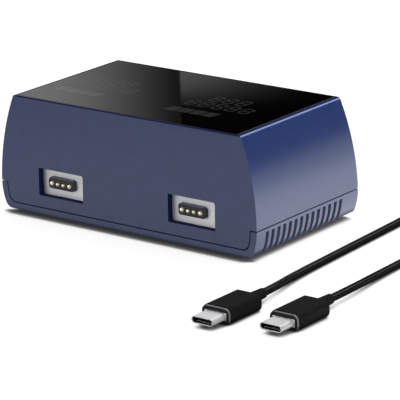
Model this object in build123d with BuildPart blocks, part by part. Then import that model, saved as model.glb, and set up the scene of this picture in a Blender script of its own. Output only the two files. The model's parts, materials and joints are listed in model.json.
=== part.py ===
from build123d import *
import os
from math import asin, cos, degrees, pi, sin, sqrt, tan

# ---------------------------------------------------------------------------
# Driving dimensions, mm.  +Z is up, the contact ports face -Y, and Z = 0 is
# the table under the rubber feet.
# ---------------------------------------------------------------------------

# Housing outside
width = 110.0  # across the bowed sides, at the side seam
side_bow = 6.4  # how far each side has bowed in at the top
depth = 57.6  # front to rear, at the side seam
height = 42.2  # table to the top of the glass
end_lean = 0.9  # how far each end wall leans in at the top
foot_height = 1.5  # table to the underside
seam_height = 10.8  # table to the seam along the sides
tray_radius = 20.0  # bow of the tray's sides, under the seam
underside_radius = 3.0  # rounding under the tray's sides
top_radius = 1.3  # rounding along the top of the sides

# Housing walls
side_wall = 2.4
end_wall = 2.5
floor_wall = 2.1
roof_wall = 1.5  # roof under the glass
seam_gap = 0.4  # shadow line between the two shells
panel_corner = 2.8  # lower corners of the end panels
lip_wall = 1.0  # locating lip inside the side seam
lip_drop = 1.0
lip_rise = 2.0
slide_fit = 0.1  # clearance between parts that drop into each other

# Side vents
vent_count = 14
vent_width = 1.7
vent_front_margin = 5.1  # from the front wall's face to the first vent
vent_rear_margin = 9.3
vent_top_margin = 1.25  # solid strip under the seam
vent_bottom_margin = 0.8  # solid skin left on the underside
vent_root = 5.6  # how far a vent cuts in from the widest point

# Top glass and displays
glass_thickness = 1.5
glass_side_margin = 1.5  # rim beside the glass
glass_end_margin = 0.6  # rim in front of and behind the glass
display_inset = 3.5  # from the middle of each half of the charger to its display
display_centre_y = -5.0
display_length = 35.0
display_width = 23.0
display_depth = 3.0
display_frame = 1.0  # ledge of the roof around each display window
display_board_margin = 1.0  # beside the displays
display_board_tail = 7.5  # behind the displays, for the ribbon
display_board_thickness = 1.2

# Contact ports
port_inset = 26.8  # from the widest point of a side to the middle of its port
port_height = 13.05  # table to the middle of a port
port_length = 19.6
port_tall = 9.7
port_corner = 0.8
plate_thickness = 1.0
plate_overlap = 1.4  # how far the plate reaches behind the wall
block_length = 11.2
block_tall = 3.9
block_corner = 1.0
block_proud = 1.5  # how far the block stands out of the plate
block_shift = -0.7  # the block sits off the middle of its port
flange_margin = 1.9
flange_thickness = 3.6
contact_board_tall = 11.0
contact_board_thickness = 1.2
contact_board_gap = 0.9  # from the flange to the contact board

# Spring contacts: two large power pins outside two small data pins
outer_pitch = 2.66
inner_pitch = 2.42
power_pin_radius = 0.95
data_pin_radius = 0.75
pin_travel = 0.8
pin_left_proud = 0.1  # what still stands out of the block when a pin is pressed
pin_collar = 0.15
pin_fit = 0.05
pin_length = 4.4
pin_dome = 0.7  # height of the domed tip
collar_depth = 0.9  # from the front of the block to a resting pin's collar
barrel_wall = 0.15
barrel_sides = 16  # flats round a barrel and its bore
barrel_floor = 0.3
spring_wire = 0.22
spring_turns = 3
spring_corners = 6  # straight lengths in each turn

# Main board and the parts on it
board_thickness = 1.6
board_post_gap = 4.5  # from the board's ends to the case posts
board_setback = 2.0  # from the contact boards to the main board
board_height = 16.0  # table to the underside of the main board
board_corner = 1.5
inductor_size = 12.0
inductor_tall = 7.0
inductor_xs = (-20.0, 20.0)
inductor_setback = 9.6  # from the board's front edge to the middle of an inductor
capacitor_radius = 4.0
capacitor_tall = 11.5
capacitor_rim = 0.4
capacitor_sides = 12
capacitor_xs = (-22.0, -13.0, 13.0, 22.0)
chip_size = 7.0
chip_tall = 1.1
chip_xs = (-31.0, 31.0)
chip_row = 10.0  # between the two rows of chips
ribbon_thickness = 0.3
ribbon_width = 8.0
ribbon_landing = 2.4  # how far a ribbon lies on a board
display_ribbon_x = 8.0
display_ribbon_y = 16.4  # the upright stretch of the display's ribbon

# Screw posts: four for the case, three for the main board
case_screw_radius = 1.25
case_screw_head_radius = 2.3
case_screw_head = 1.6
case_screw_bite = 4.2  # depth of the pilot holes in the upper posts
case_post_width = 6.2
case_boss_width = 7.2
case_boss_top = 9.4
case_screw_inset_x = 9.4  # from the widest point of a side
case_screw_inset_y = 8.4  # from the foot of an end wall
board_screw_radius = 0.95
board_screw_bite = 3.7
board_post_width = 5.2
board_screw_inset_x = 4.0  # from the board's ends
board_screw_inset_rear = 5.4  # from the board's rear edge
board_screw_inset_front = 3.0
screw_hole_sides = 12  # flats round a hidden screw hole

# Blower
blower_size = 30.0
blower_tall = 10.0
blower_corner = 2.0
blower_floor = 0.9
blower_cover = 0.8
blower_gap = 0.3  # from the blower to the case bosses
blower_stop = 4.0  # corner stops on the tray's floor
eye_cover = 2.4  # how far the cover reaches in over the wheel
scroll_wall = 2.5  # thinnest wall beside the scroll
scroll_clearance = 1.5  # from the wheel to the scroll
impeller_tall = 6.4
impeller_blades = 15
impeller_disc = 0.8
impeller_gap = 0.8  # under the wheel
hub_radius = 6.2
hub_wall = 0.8
blade_end_gap = 0.7  # from a blade's inner end to the hub
blade_tall = 5.2
blade_thickness = 0.5
blade_sweep = 35.0
bearing_wall = 1.0
bearing_rise = 3.0
shaft_radius = 0.75
shaft_fit = 0.05

# Heat sink
sink_length = 33.0
sink_width = 25.0
sink_x = 20.0
sink_base = 1.5
sink_fins = 8
sink_fin = 1.0
sink_floor_gap = 1.2

# Power inlet at the rear
inlet_length = 8.94
inlet_tall = 3.2
inlet_wall = 0.3
inlet_depth = 7.3
inlet_setback = 0.3  # from the rear wall to the inlet's mouth
inlet_recess_length = 13.2
inlet_recess_tall = 7.6
inlet_recess_depth = 1.2
tongue_length = 6.7
tongue_thickness = 0.7
tongue_setback = 0.9
tongue_base = 1.4

# Rubber feet
foot_end_margin = 20.0  # from the widest point of a side to a foot's end
foot_width = 5.5
foot_seat = 0.8
foot_inset = 6.2  # from the foot of an end wall to the middle of a foot

# Lead
cable_radius = 1.3
cable_sides = 12
plug_xs = {"a": 78.4, "b": 99.2}
plug_tips = {"a": -88.4, "b": -81.6}
plug_shell_length = 6.65
plug_shell_width = 8.25
plug_shell_tall = 2.4
plug_shell_wall = 0.3
plug_socket_depth = 5.6
plug_collar = 1.0
plug_collar_step = 0.25  # the body stands this much proud of the collar
plug_body_length = 16.2
plug_body_width = 10.8
plug_body_tall = 5.6
plug_body_corner = 2.0
plug_relief_length = 7.2
plug_relief_wall = 0.65  # at the body
plug_relief_end_wall = 0.4
coil_centre = (88.0, 56.0)
coil_radius = 15.5  # middle of the turns
coil_columns = 3  # turns side by side
coil_layers = 3  # turns on top of each other

# ---------------------------------------------------------------------------
# Values worked out from them
# ---------------------------------------------------------------------------
side_rise = height - seam_height
side_radius = (side_rise**2 + side_bow**2) / (2 * side_bow)
floor_top = foot_height + floor_wall
glass_underside = height - glass_thickness
ceiling = glass_underside - roof_wall
end_inside = depth / 2 - end_wall

port_x = width / 2 - port_inset
port_xs = {"left": -port_x, "right": port_x}
display_x = width / 4 - display_inset
display_xs = {"left": -display_x, "right": display_x}
vent_centre = (vent_front_margin - vent_rear_margin) / 2
vent_run = depth - vent_front_margin - vent_rear_margin
vent_pitch = (vent_run - vent_width) / (vent_count - 1)
foot_length = width - 2 * foot_end_margin
foot_y = depth / 2 - foot_inset

plate_front = -end_inside
plate_rear = plate_front + plate_thickness
block_front = plate_front - block_proud
flange_rear = plate_rear + flange_thickness
pin_proud = pin_travel + pin_left_proud
pin_tip = block_front - pin_proud
pin_tail = pin_tip + pin_length
contact_board_front = flange_rear + contact_board_gap
contact_board_rear = contact_board_front + contact_board_thickness

display_underside = glass_underside - display_depth
display_board_low = display_underside - display_board_thickness
display_board_front = display_centre_y - display_width / 2 - slide_fit
display_board_rear = display_centre_y + display_width / 2 + display_board_tail
display_board_length = 2 * display_x + display_length + 2 * display_board_margin

screw_head_low = foot_height + 2 * slide_fit
case_screw_x = width / 2 - case_screw_inset_x
case_screw_y = depth / 2 - case_screw_inset_y
case_screw_spots = [
    (x, y) for x in (-case_screw_x, case_screw_x) for y in (-case_screw_y, case_screw_y)
]

board_top = board_height + board_thickness
board_front = contact_board_rear + board_setback
board_rear = end_inside - inlet_setback
board_length = 2 * case_screw_x - case_post_width - 2 * board_post_gap
board_screw_x = board_length / 2 - board_screw_inset_x
board_screw_spots = [
    (-board_screw_x, board_rear - board_screw_inset_rear),
    (board_screw_x, board_rear - board_screw_inset_rear),
    (0.0, board_front + board_screw_inset_front),
]

inductor_y = board_front + inductor_setback
capacitor_y = (inductor_y + inductor_size / 2 + display_ribbon_y) / 2
chip_spots = [(x, inductor_y + row) for x in chip_xs for row in (0.0, chip_row)]
chip_spots.append((0.0, inductor_y + chip_row))

blower_x = blower_gap + blower_size / 2 + case_boss_width / 2 - case_screw_x
blower_y = (contact_board_rear + end_inside) / 2
scroll_radius = blower_size / 2 - scroll_wall
impeller_radius = scroll_radius - scroll_clearance


def turned_in(radius, rise):
    """How far an arc that starts upright has turned in after a rise."""
    return radius - sqrt(radius**2 - rise**2)


def front_view(plane, inset, low, high, low_radius=0.0, high_radius=0.0):
    """The housing's front view between two heights, its bowed sides pulled in by an inset."""
    half = width / 2 - inset
    lower_r = tray_radius - inset
    upper_r = side_radius - inset
    lower_angle = degrees(asin((seam_height - low) / lower_r))
    upper_angle = degrees(asin((high - seam_height) / upper_r))
    low_half = half - turned_in(lower_r, seam_height - low)
    high_half = half - turned_in(upper_r, high - seam_height)
    lower_x = half - lower_r
    upper_x = half - upper_r
    with BuildSketch(plane) as view:
        with BuildLine():
            Line((-low_half, low), (low_half, low))
            CenterArc((lower_x, seam_height), lower_r, -lower_angle, lower_angle)
            CenterArc((upper_x, seam_height), upper_r, 0, upper_angle)
            Line((high_half, high), (-high_half, high))
            CenterArc((-upper_x, seam_height), upper_r, 180 - upper_angle, upper_angle)
            CenterArc((-lower_x, seam_height), lower_r, 180, lower_angle)
        make_face()
        if low_radius:
            fillet(view.vertices().group_by(Axis.Y)[0], low_radius)
        if high_radius:
            fillet(view.vertices().group_by(Axis.Y)[-1], high_radius)
    return view.sketch


def save(piece, name):
    """Label a finished piece and write it as its own file."""
    piece.part.label = name
    export_step(piece.part, f"parts/{name}.step")


os.makedirs("parts", exist_ok=True)

# ---------------------------------------------------------------------------
# Housing block: the whole outside form, before it is parted into two shells
# ---------------------------------------------------------------------------
outline = front_view(Plane.XZ, 0, foot_height, height, underside_radius, top_radius)

with BuildPart() as housing:
    extrude(outline, amount=depth / 2, both=True)
    with BuildSketch(Plane.YZ):
        with BuildLine():
            Polyline(
                (-depth / 2, 0),
                (depth / 2, 0),
                (depth / 2, seam_height),
                (depth / 2 - 2 * end_lean, seam_height + 2 * side_rise),
                (-depth / 2 + 2 * end_lean, seam_height + 2 * side_rise),
                (-depth / 2, seam_height),
                close=True,
            )
        make_face()
    extrude(amount=width, both=True, mode=Mode.INTERSECT)

# The space that the tray keeps for itself: all below the side seam, apart
# from the two end panels, which reach down to the tray's floor.
panel_outline = front_view(
    Plane.XZ,
    side_wall + seam_gap,
    floor_top + seam_gap,
    height,
    panel_corner,
)
with BuildPart() as end_panels:
    extrude(panel_outline, amount=depth, both=True)
    with BuildSketch(Plane.XY):
        Rectangle(2 * width, 2 * end_inside)
    extrude(amount=2 * height, mode=Mode.SUBTRACT)

with BuildPart() as tray_space:
    with BuildSketch(Plane.XY):
        Rectangle(2 * width, 2 * depth)
    extrude(amount=seam_height + seam_gap / 2)
    add(end_panels, mode=Mode.SUBTRACT)

# Locating lip inside each side wall: its root joins the wall above the seam,
# and its edge drops just inside the tray's wall.
lip_outer = front_view(Plane.XZ, side_wall + slide_fit, seam_height - lip_drop, ceiling)
lip_root = front_view(Plane.XZ, side_wall - slide_fit, seam_height - lip_drop, ceiling)
lip_inner = front_view(
    Plane.XZ, side_wall + slide_fit + lip_wall, seam_height - 2 * lip_drop, height
)
with BuildPart() as lip:
    extrude(lip_root, amount=end_inside, both=True)
    with BuildSketch(Plane.XY):
        Rectangle(2 * width, 2 * depth)
    extrude(amount=seam_height + seam_gap / 2, mode=Mode.SUBTRACT)
    extrude(lip_outer, amount=end_inside, both=True)
    extrude(lip_inner, amount=end_inside, both=True, mode=Mode.SUBTRACT)
    with BuildSketch(Plane.XY.offset(seam_height + lip_rise)):
        Rectangle(2 * width, 2 * depth)
    extrude(amount=height, mode=Mode.SUBTRACT)

# ---------------------------------------------------------------------------
# Upper shell: roof, bowed sides and both end walls
# ---------------------------------------------------------------------------
upper_cavity = front_view(Plane.XZ, side_wall, floor_top, ceiling, panel_corner, 1.5)
glass_length = width - 2 * side_bow - 2 * glass_side_margin
glass_width = depth - 2 * end_lean - 2 * glass_end_margin
inlet_height = board_top + inlet_tall / 2

with BuildPart() as upper_shell:
    add(housing)
    add(tray_space, mode=Mode.SUBTRACT)
    extrude(upper_cavity, amount=end_inside, both=True, mode=Mode.SUBTRACT)
    add(lip)

    # Seat of the glass, and a window under it for each display
    with BuildSketch(Plane.XY.offset(height)):
        Rectangle(glass_length + 2 * slide_fit, glass_width + 2 * slide_fit)
    extrude(amount=-glass_thickness, mode=Mode.SUBTRACT)
    with BuildSketch(Plane.XY.offset(height)):
        with Locations(*[(x, display_centre_y) for x in display_xs.values()]):
            Rectangle(display_length - 2 * display_frame, display_width - 2 * display_frame)
    extrude(amount=ceiling - height - roof_wall, mode=Mode.SUBTRACT)

    # Mouths of the two contact ports
    with BuildSketch(Plane.XZ.offset(depth)):
        with Locations(*[(x, port_height) for x in port_xs.values()]):
            RectangleRounded(port_length, port_tall, port_corner)
    extrude(amount=-depth, mode=Mode.SUBTRACT)

    # Power inlet: a slot through the rear wall, in a recess for the plug's body
    with BuildSketch(Plane.XZ.offset(-depth)):
        with Locations((0, inlet_height)):
            SlotOverall(inlet_length + 4 * slide_fit, inlet_tall + 4 * slide_fit)
    extrude(amount=depth, mode=Mode.SUBTRACT)
    with BuildSketch(Plane.XZ.offset(-depth)):
        with Locations((0, inlet_height)):
            RectangleRounded(inlet_recess_length, inlet_recess_tall, inlet_recess_tall / 3)
    extrude(amount=depth / 2 + inlet_recess_depth, mode=Mode.SUBTRACT)

    # Posts that hang from the roof, for the case screws and the main board
    with BuildSketch(Plane.XY.offset(case_boss_top)):
        with Locations(*case_screw_spots):
            Rectangle(case_post_width, case_post_width)
    extrude(amount=ceiling - case_boss_top)
    with BuildSketch(Plane.XY.offset(board_top)):
        with Locations(*board_screw_spots):
            Rectangle(board_post_width, board_post_width)
    extrude(amount=ceiling - board_top)

    # Pilot holes in the posts
    with BuildSketch(Plane.XY.offset(case_boss_top)):
        with Locations(*case_screw_spots):
            RegularPolygon(case_screw_radius, screw_hole_sides, major_radius=False)
    extrude(amount=case_screw_bite, mode=Mode.SUBTRACT)
    with BuildSketch(Plane.XY.offset(board_top)):
        with Locations(*board_screw_spots):
            RegularPolygon(board_screw_radius, screw_hole_sides, major_radius=False)
    extrude(amount=board_screw_bite, mode=Mode.SUBTRACT)
save(upper_shell, "upper_shell")

# ---------------------------------------------------------------------------
# Lower tray: floor and vented side walls, open at both ends
# ---------------------------------------------------------------------------
tray_cavity = front_view(Plane.XZ, side_wall, floor_top, height, panel_corner)
vent_low = foot_height + vent_bottom_margin
vent_high = seam_height - vent_top_margin

with BuildPart() as lower_tray:
    add(housing)
    with BuildSketch(Plane.XY.offset(seam_height - seam_gap / 2)):
        Rectangle(2 * width, 2 * depth)
    extrude(amount=height, mode=Mode.SUBTRACT)
    extrude(tray_cavity, amount=depth, both=True, mode=Mode.SUBTRACT)

    # A row of upright vents through each side, down to the underside
    for side in (-1, 1):
        with BuildSketch(Plane.YZ.offset(side * (width / 2 - vent_root))):
            with Locations((vent_centre, (vent_low + vent_high) / 2)):
                with GridLocations(vent_pitch, 1, vent_count, 1):
                    Rectangle(vent_width, vent_high - vent_low)
        extrude(amount=side * 2 * vent_root, mode=Mode.SUBTRACT)

    # Screw bosses, each with a clearance hole and a recess for the head
    with BuildSketch(Plane.XY.offset(floor_top)):
        with Locations(*case_screw_spots):
            Rectangle(case_boss_width, case_boss_width)
    extrude(amount=case_boss_top - floor_top)
    with BuildSketch(Plane.XY.offset(foot_height)):
        with Locations(*case_screw_spots):
            RegularPolygon(case_screw_radius + slide_fit, screw_hole_sides, major_radius=False)
    extrude(amount=case_boss_top, mode=Mode.SUBTRACT)
    with BuildSketch(Plane.XY.offset(foot_height)):
        with Locations(*case_screw_spots):
            Circle(case_screw_head_radius + 3 * slide_fit)
    extrude(amount=screw_head_low + case_screw_head - foot_height, mode=Mode.SUBTRACT)

    # Seats for the two foot strips
    with BuildSketch(Plane.XY.offset(foot_height)):
        with Locations((0, -foot_y), (0, foot_y)):
            SlotOverall(foot_length + 2 * slide_fit, foot_width + 2 * slide_fit)
    extrude(amount=foot_seat, mode=Mode.SUBTRACT)

    # Four low corner stops that hold the blower
    stop_reach = blower_size / 2 + slide_fit
    with BuildSketch(Plane.XY.offset(floor_top)):
        with Locations((blower_x, blower_y)):
            with GridLocations(2 * stop_reach, 2 * stop_reach, 2, 2):
                Rectangle(blower_stop, blower_stop)
            Rectangle(2 * stop_reach, 2 * stop_reach, mode=Mode.SUBTRACT)
    extrude(amount=blower_stop / 2)
save(lower_tray, "lower_tray")

# Rubber foot strips, under the front and the rear
for end, y in {"front": -foot_y, "rear": foot_y}.items():
    with BuildPart() as foot:
        with BuildSketch(Plane.XY):
            with Locations((0, y)):
                SlotOverall(foot_length, foot_width)
        extrude(amount=foot_height + foot_seat)
        chamfer(foot.faces().sort_by(Axis.Z)[0].edges(), foot_height / 4)
    save(foot, f"{end}_foot")

# ---------------------------------------------------------------------------
# Top glass and the display stack under it
# ---------------------------------------------------------------------------
with BuildPart() as top_glass:
    with BuildSketch(Plane.XY.offset(glass_underside)):
        Rectangle(glass_length, glass_width)
    extrude(amount=glass_thickness)
    chamfer(top_glass.faces().sort_by(Axis.Z)[-1].edges(), slide_fit)
save(top_glass, "top_glass")

with BuildPart() as display_board:
    with BuildSketch(Plane.XY.offset(display_board_low)):
        with Locations((0, (display_board_front + display_board_rear) / 2)):
            RectangleRounded(
                display_board_length, display_board_rear - display_board_front, board_corner
            )
        with Locations(*board_screw_spots):
            Rectangle(
                board_post_width + 6 * slide_fit,
                board_post_width + 6 * slide_fit,
                mode=Mode.SUBTRACT,
            )
    extrude(amount=display_board_thickness)
save(display_board, "display_board")

# One display module per channel, bonded to the glass and carrying its board
for side, x in display_xs.items():
    with BuildPart() as display:
        with BuildSketch(Plane.XY.offset(display_underside)):
            with Locations((x, display_centre_y)):
                Rectangle(
                    display_length - 2 * display_frame - 2 * slide_fit,
                    display_width - 2 * display_frame - 2 * slide_fit,
                )
        extrude(amount=display_depth)
        chamfer(display.faces().sort_by(Axis.Z)[-1].edges(), 3 * slide_fit)
    save(display, f"display_{side}")

# ---------------------------------------------------------------------------
# Contact ports: plate, insulating block, four spring pins and their board
# ---------------------------------------------------------------------------
pin_offsets = [
    -inner_pitch / 2 - outer_pitch,
    -inner_pitch / 2,
    inner_pitch / 2,
    inner_pitch / 2 + outer_pitch,
]
pin_radii = [power_pin_radius, data_pin_radius, data_pin_radius, power_pin_radius]
barrel_radii = [r + pin_collar + pin_fit + barrel_wall for r in pin_radii]

collar_length = pin_length - pin_proud - collar_depth
barrel_length = contact_board_front - block_front
spring_length = contact_board_front - barrel_floor - pin_tail - 2 * slide_fit


def spring_points(x, radius):
    """Points along a spring's wire, from behind the pin to the floor of its barrel."""
    steps = spring_turns * spring_corners
    wound = spring_length - 2 * spring_wire
    points = []
    for step in range(steps + 1):
        angle = 2 * pi * step / spring_corners
        y = pin_tail + slide_fit + spring_wire + wound * step / steps
        points.append((x + radius * cos(angle), y, port_height + radius * sin(angle)))
    return points


for side, port_x in port_xs.items():
    centre_x = port_x + block_shift
    pins_x = [centre_x + offset for offset in pin_offsets]

    # Steel plate behind the mouth, with a window for the block
    with BuildPart() as plate:
        with BuildSketch(Plane.XZ.offset(-plate_front)):
            with Locations((port_x, port_height)):
                Rectangle(port_length + 2 * plate_overlap, port_tall + 2 * plate_overlap)
            with Locations((centre_x, port_height)):
                RectangleRounded(
                    block_length + 2 * slide_fit,
                    block_tall + 2 * slide_fit,
                    block_corner + slide_fit,
                    mode=Mode.SUBTRACT,
                )
        extrude(amount=-plate_thickness)
    save(plate, f"port_plate_{side}")

    # Moulded block that stands out through the window, with its flange behind
    with BuildPart() as block:
        with BuildSketch(Plane.XZ.offset(-block_front)):
            with Locations((centre_x, port_height)):
                RectangleRounded(block_length, block_tall, block_corner)
        extrude(amount=block_front - plate_rear)
        chamfer(block.faces().sort_by(Axis.Y)[0].edges(), 2 * slide_fit)
        with BuildSketch(Plane.XZ.offset(-plate_rear)):
            with Locations((centre_x, port_height)):
                Rectangle(block_length + 2 * flange_margin, block_tall + 2 * flange_margin)
        extrude(amount=-flange_thickness)
        with BuildSketch(Plane.XZ.offset(-block_front)):
            for x, radius in zip(pins_x, barrel_radii):
                with Locations((x, port_height)):
                    RegularPolygon(radius + slide_fit / 5, barrel_sides, major_radius=False)
        extrude(amount=block_front - flange_rear, mode=Mode.SUBTRACT)
    save(block, f"contact_block_{side}")

    # Plated barrels, each with a narrow mouth that holds its pin's collar
    with BuildPart() as barrels:
        for x, radius, barrel_radius in zip(pins_x, pin_radii, barrel_radii):
            bore = radius + pin_collar + pin_fit
            with BuildSketch(Plane.XZ.offset(-block_front)):
                with Locations((x, port_height)):
                    RegularPolygon(barrel_radius, barrel_sides, major_radius=False)
            extrude(amount=-barrel_length)
            with BuildSketch(Plane.XZ.offset(-block_front)):
                with Locations((x, port_height)):
                    RegularPolygon(radius + pin_fit, barrel_sides, major_radius=False)
            extrude(amount=-collar_depth, mode=Mode.SUBTRACT)
            with BuildSketch(Plane.XZ.offset(-block_front - collar_depth + slide_fit)):
                with Locations((x, port_height)):
                    RegularPolygon(bore, barrel_sides, major_radius=False)
            extrude(
                amount=-(barrel_length - barrel_floor - collar_depth + slide_fit),
                mode=Mode.SUBTRACT,
            )
    save(barrels, f"contact_barrels_{side}")

    # Spring pins: domed tip, stem, and the collar that keeps each one in
    for number, (x, radius) in enumerate(zip(pins_x, pin_radii), start=1):
        with BuildPart() as pin:
            with BuildSketch(Plane((x, pin_tip, port_height), x_dir=(1, 0, 0), z_dir=(0, 0, 1))):
                with BuildLine():
                    TangentArc((0, 0), (radius, pin_dome), tangent=(1, 0))
                    Polyline(
                        (radius, pin_dome),
                        (radius, pin_length - collar_length),
                        (radius + pin_collar, pin_length - collar_length),
                        (radius + pin_collar, pin_length),
                        (0, pin_length),
                        (0, 0),
                    )
                make_face()
            revolve(axis=Axis((x, 0, port_height), (0, 1, 0)))
        save(pin, f"{side}_pin_{number}")

    # Coil springs behind the pins
    with BuildPart() as springs:
        for x, radius in zip(pins_x, pin_radii):
            with BuildLine() as turns:
                Polyline(*spring_points(x, radius - spring_wire))
            with BuildSketch(Plane(turns.line @ 0, z_dir=turns.line % 0)):
                Rectangle(spring_wire, spring_wire)
            sweep(path=turns.line, transition=Transition.RIGHT)
    save(springs, f"contact_springs_{side}")

    # Small upright board that the barrels are soldered to
    with BuildPart() as contact_board:
        with BuildSketch(Plane.XZ.offset(-contact_board_front)):
            with Locations((centre_x, port_height)):
                Rectangle(block_length + 2 * flange_margin, contact_board_tall)
        extrude(amount=-contact_board_thickness)
    save(contact_board, f"contact_board_{side}")

# ---------------------------------------------------------------------------
# Main board and what stands on it
# ---------------------------------------------------------------------------
with BuildPart() as main_board:
    with BuildSketch(Plane.XY.offset(board_height)):
        with Locations((0, (board_front + board_rear) / 2)):
            RectangleRounded(board_length, board_rear - board_front, board_corner)
        with Locations(*board_screw_spots):
            Circle(board_screw_radius + slide_fit, mode=Mode.SUBTRACT)
    extrude(amount=board_thickness)
save(main_board, "main_board")

# Power stage, one set per channel
with BuildPart() as inductors:
    with BuildSketch(Plane.XY.offset(board_top)):
        with Locations(*[(x, inductor_y) for x in inductor_xs]):
            Rectangle(inductor_size, inductor_size)
    extrude(amount=inductor_tall)
    chamfer(inductors.faces().group_by(Axis.Z)[-1].edges(), inductor_size / 12)
save(inductors, "inductors")

with BuildPart() as capacitors:
    with BuildSketch(Plane.XY.offset(board_top)):
        with Locations(*[(x, capacitor_y) for x in capacitor_xs]):
            RegularPolygon(capacitor_radius, capacitor_sides)
    extrude(amount=capacitor_tall)
    chamfer(capacitors.faces().group_by(Axis.Z)[-1].edges(), capacitor_rim)
save(capacitors, "capacitors")

with BuildPart() as power_chips:
    with BuildSketch(Plane.XY.offset(board_top)):
        with Locations(*chip_spots):
            Rectangle(chip_size, chip_size)
    extrude(amount=chip_tall)
save(power_chips, "power_chips")

# Finned sink under the board, its fins in line with the side vents
sink_fin_drop = board_height - sink_base - floor_top - sink_floor_gap
with BuildPart() as heat_sink:
    with BuildSketch(Plane.XY.offset(board_height)):
        with Locations((sink_x, 0)):
            Rectangle(sink_length, sink_width)
    extrude(amount=-sink_base)
    with BuildSketch(Plane.XY.offset(board_height - sink_base)):
        with Locations((sink_x, 0)):
            with GridLocations(1, (sink_width - sink_fin) / (sink_fins - 1), 1, sink_fins):
                Rectangle(sink_length, sink_fin)
    extrude(amount=-sink_fin_drop)
save(heat_sink, "heat_sink")

# ---------------------------------------------------------------------------
# Blower: scroll housing, cover with its inlet, and the wheel on its shaft
# ---------------------------------------------------------------------------
blower_top = floor_top + blower_tall
wheel_low = floor_top + blower_floor + impeller_gap
hub_top = wheel_low + impeller_tall
bearing_top = wheel_low + bearing_rise
bearing_low = floor_top + blower_floor / 2

with BuildPart() as blower_case:
    with BuildSketch(Plane.XY.offset(floor_top)):
        with Locations((blower_x, blower_y)):
            RectangleRounded(blower_size, blower_size, blower_corner)
    extrude(amount=blower_tall - blower_cover)
    with BuildSketch(Plane.XY.offset(floor_top + blower_floor)):
        with Locations((blower_x, blower_y)):
            Circle(scroll_radius)
        with Locations((blower_x, blower_y - scroll_radius)):
            Rectangle(blower_size, scroll_radius, align=(Align.MAX, Align.MIN))
    extrude(amount=blower_tall, mode=Mode.SUBTRACT)

    # Bearing tube of the wheel's shaft
    with BuildSketch(Plane.XY.offset(floor_top)):
        with Locations((blower_x, blower_y)):
            Circle(shaft_radius + shaft_fit + bearing_wall)
    extrude(amount=bearing_top - floor_top)
    with BuildSketch(Plane.XY.offset(bearing_low)):
        with Locations((blower_x, blower_y)):
            Circle(shaft_radius + shaft_fit)
    extrude(amount=bearing_top - bearing_low, mode=Mode.SUBTRACT)
save(blower_case, "blower_case")

with BuildPart() as blower_lid:
    with BuildSketch(Plane.XY.offset(blower_top - blower_cover)):
        with Locations((blower_x, blower_y)):
            RectangleRounded(blower_size, blower_size, blower_corner)
            Circle(impeller_radius - eye_cover, mode=Mode.SUBTRACT)
    extrude(amount=blower_cover)
save(blower_lid, "blower_lid")

# Wheel: a hub cup over the bearing, a floor disc and swept blades
blade_inner = hub_radius + blade_end_gap
blade_length = impeller_radius - blade_inner
with BuildPart() as impeller:
    with BuildSketch(Plane((blower_x, blower_y, 0), x_dir=(1, 0, 0), z_dir=(0, -1, 0))):
        with BuildLine():
            Polyline(
                (0, bearing_low + shaft_fit),
                (shaft_radius, bearing_low + shaft_fit),
                (shaft_radius, hub_top - hub_wall),
                (hub_radius - hub_wall, hub_top - hub_wall),
                (hub_radius - hub_wall, wheel_low),
                (impeller_radius, wheel_low),
                (impeller_radius, wheel_low + impeller_disc),
                (hub_radius, wheel_low + impeller_disc),
                (hub_radius, hub_top - hub_wall),
                (hub_radius - hub_wall, hub_top),
                (0, hub_top),
                close=True,
            )
        make_face()
    revolve(axis=Axis((blower_x, blower_y, 0), (0, 0, 1)))
    with BuildSketch(Plane.XY.offset(wheel_low)):
        with Locations((blower_x, blower_y)):
            with PolarLocations((blade_inner + impeller_radius) / 2, impeller_blades):
                Rectangle(blade_length, blade_thickness, rotation=blade_sweep)
    extrude(amount=blade_tall)
save(impeller, "impeller")

# ---------------------------------------------------------------------------
# Power inlet on the rear edge of the main board
# ---------------------------------------------------------------------------
inlet_back = board_rear - inlet_depth
with BuildPart() as inlet_shell:
    with BuildSketch(Plane.XZ.offset(-board_rear)):
        with Locations((0, inlet_height)):
            SlotOverall(inlet_length, inlet_tall)
    extrude(amount=inlet_depth)
    with BuildSketch(Plane.XZ.offset(-board_rear)):
        with Locations((0, inlet_height)):
            SlotOverall(inlet_length - 2 * inlet_wall, inlet_tall - 2 * inlet_wall)
    extrude(amount=inlet_depth - inlet_wall, mode=Mode.SUBTRACT)
save(inlet_shell, "inlet_shell")

with BuildPart() as inlet_tongue:
    with BuildSketch(Plane.XZ.offset(-inlet_back - inlet_wall)):
        with Locations((0, inlet_height)):
            Rectangle(tongue_length, tongue_thickness)
    extrude(amount=-(inlet_depth - inlet_wall - tongue_setback))
    with BuildSketch(Plane.XZ.offset(-inlet_back - inlet_wall)):
        with Locations((0, inlet_height)):
            SlotOverall(
                inlet_length - 2 * inlet_wall - slide_fit,
                inlet_tall - 2 * inlet_wall - slide_fit,
            )
    extrude(amount=-tongue_base)
save(inlet_tongue, "inlet_tongue")

# ---------------------------------------------------------------------------
# Flat ribbons: contact boards and display board down to the main board
# ---------------------------------------------------------------------------
ribbon_start = (contact_board_rear, port_height + contact_board_tall / 2 - ribbon_thickness)
ribbon_landed = (board_front + ribbon_thickness, board_top + ribbon_thickness / 2)
with BuildPart() as port_ribbons:
    for port_x in port_xs.values():
        with BuildSketch(Plane.YZ.offset(port_x + block_shift - ribbon_width / 2)):
            with BuildLine():
                Spline(ribbon_start, ribbon_landed, tangents=((1, 0), (1, 0)))
                Line(ribbon_landed, (ribbon_landed[0] + ribbon_landing, ribbon_landed[1]))
            trace(line_width=ribbon_thickness)
        extrude(amount=ribbon_width)
save(port_ribbons, "port_ribbons")

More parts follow.
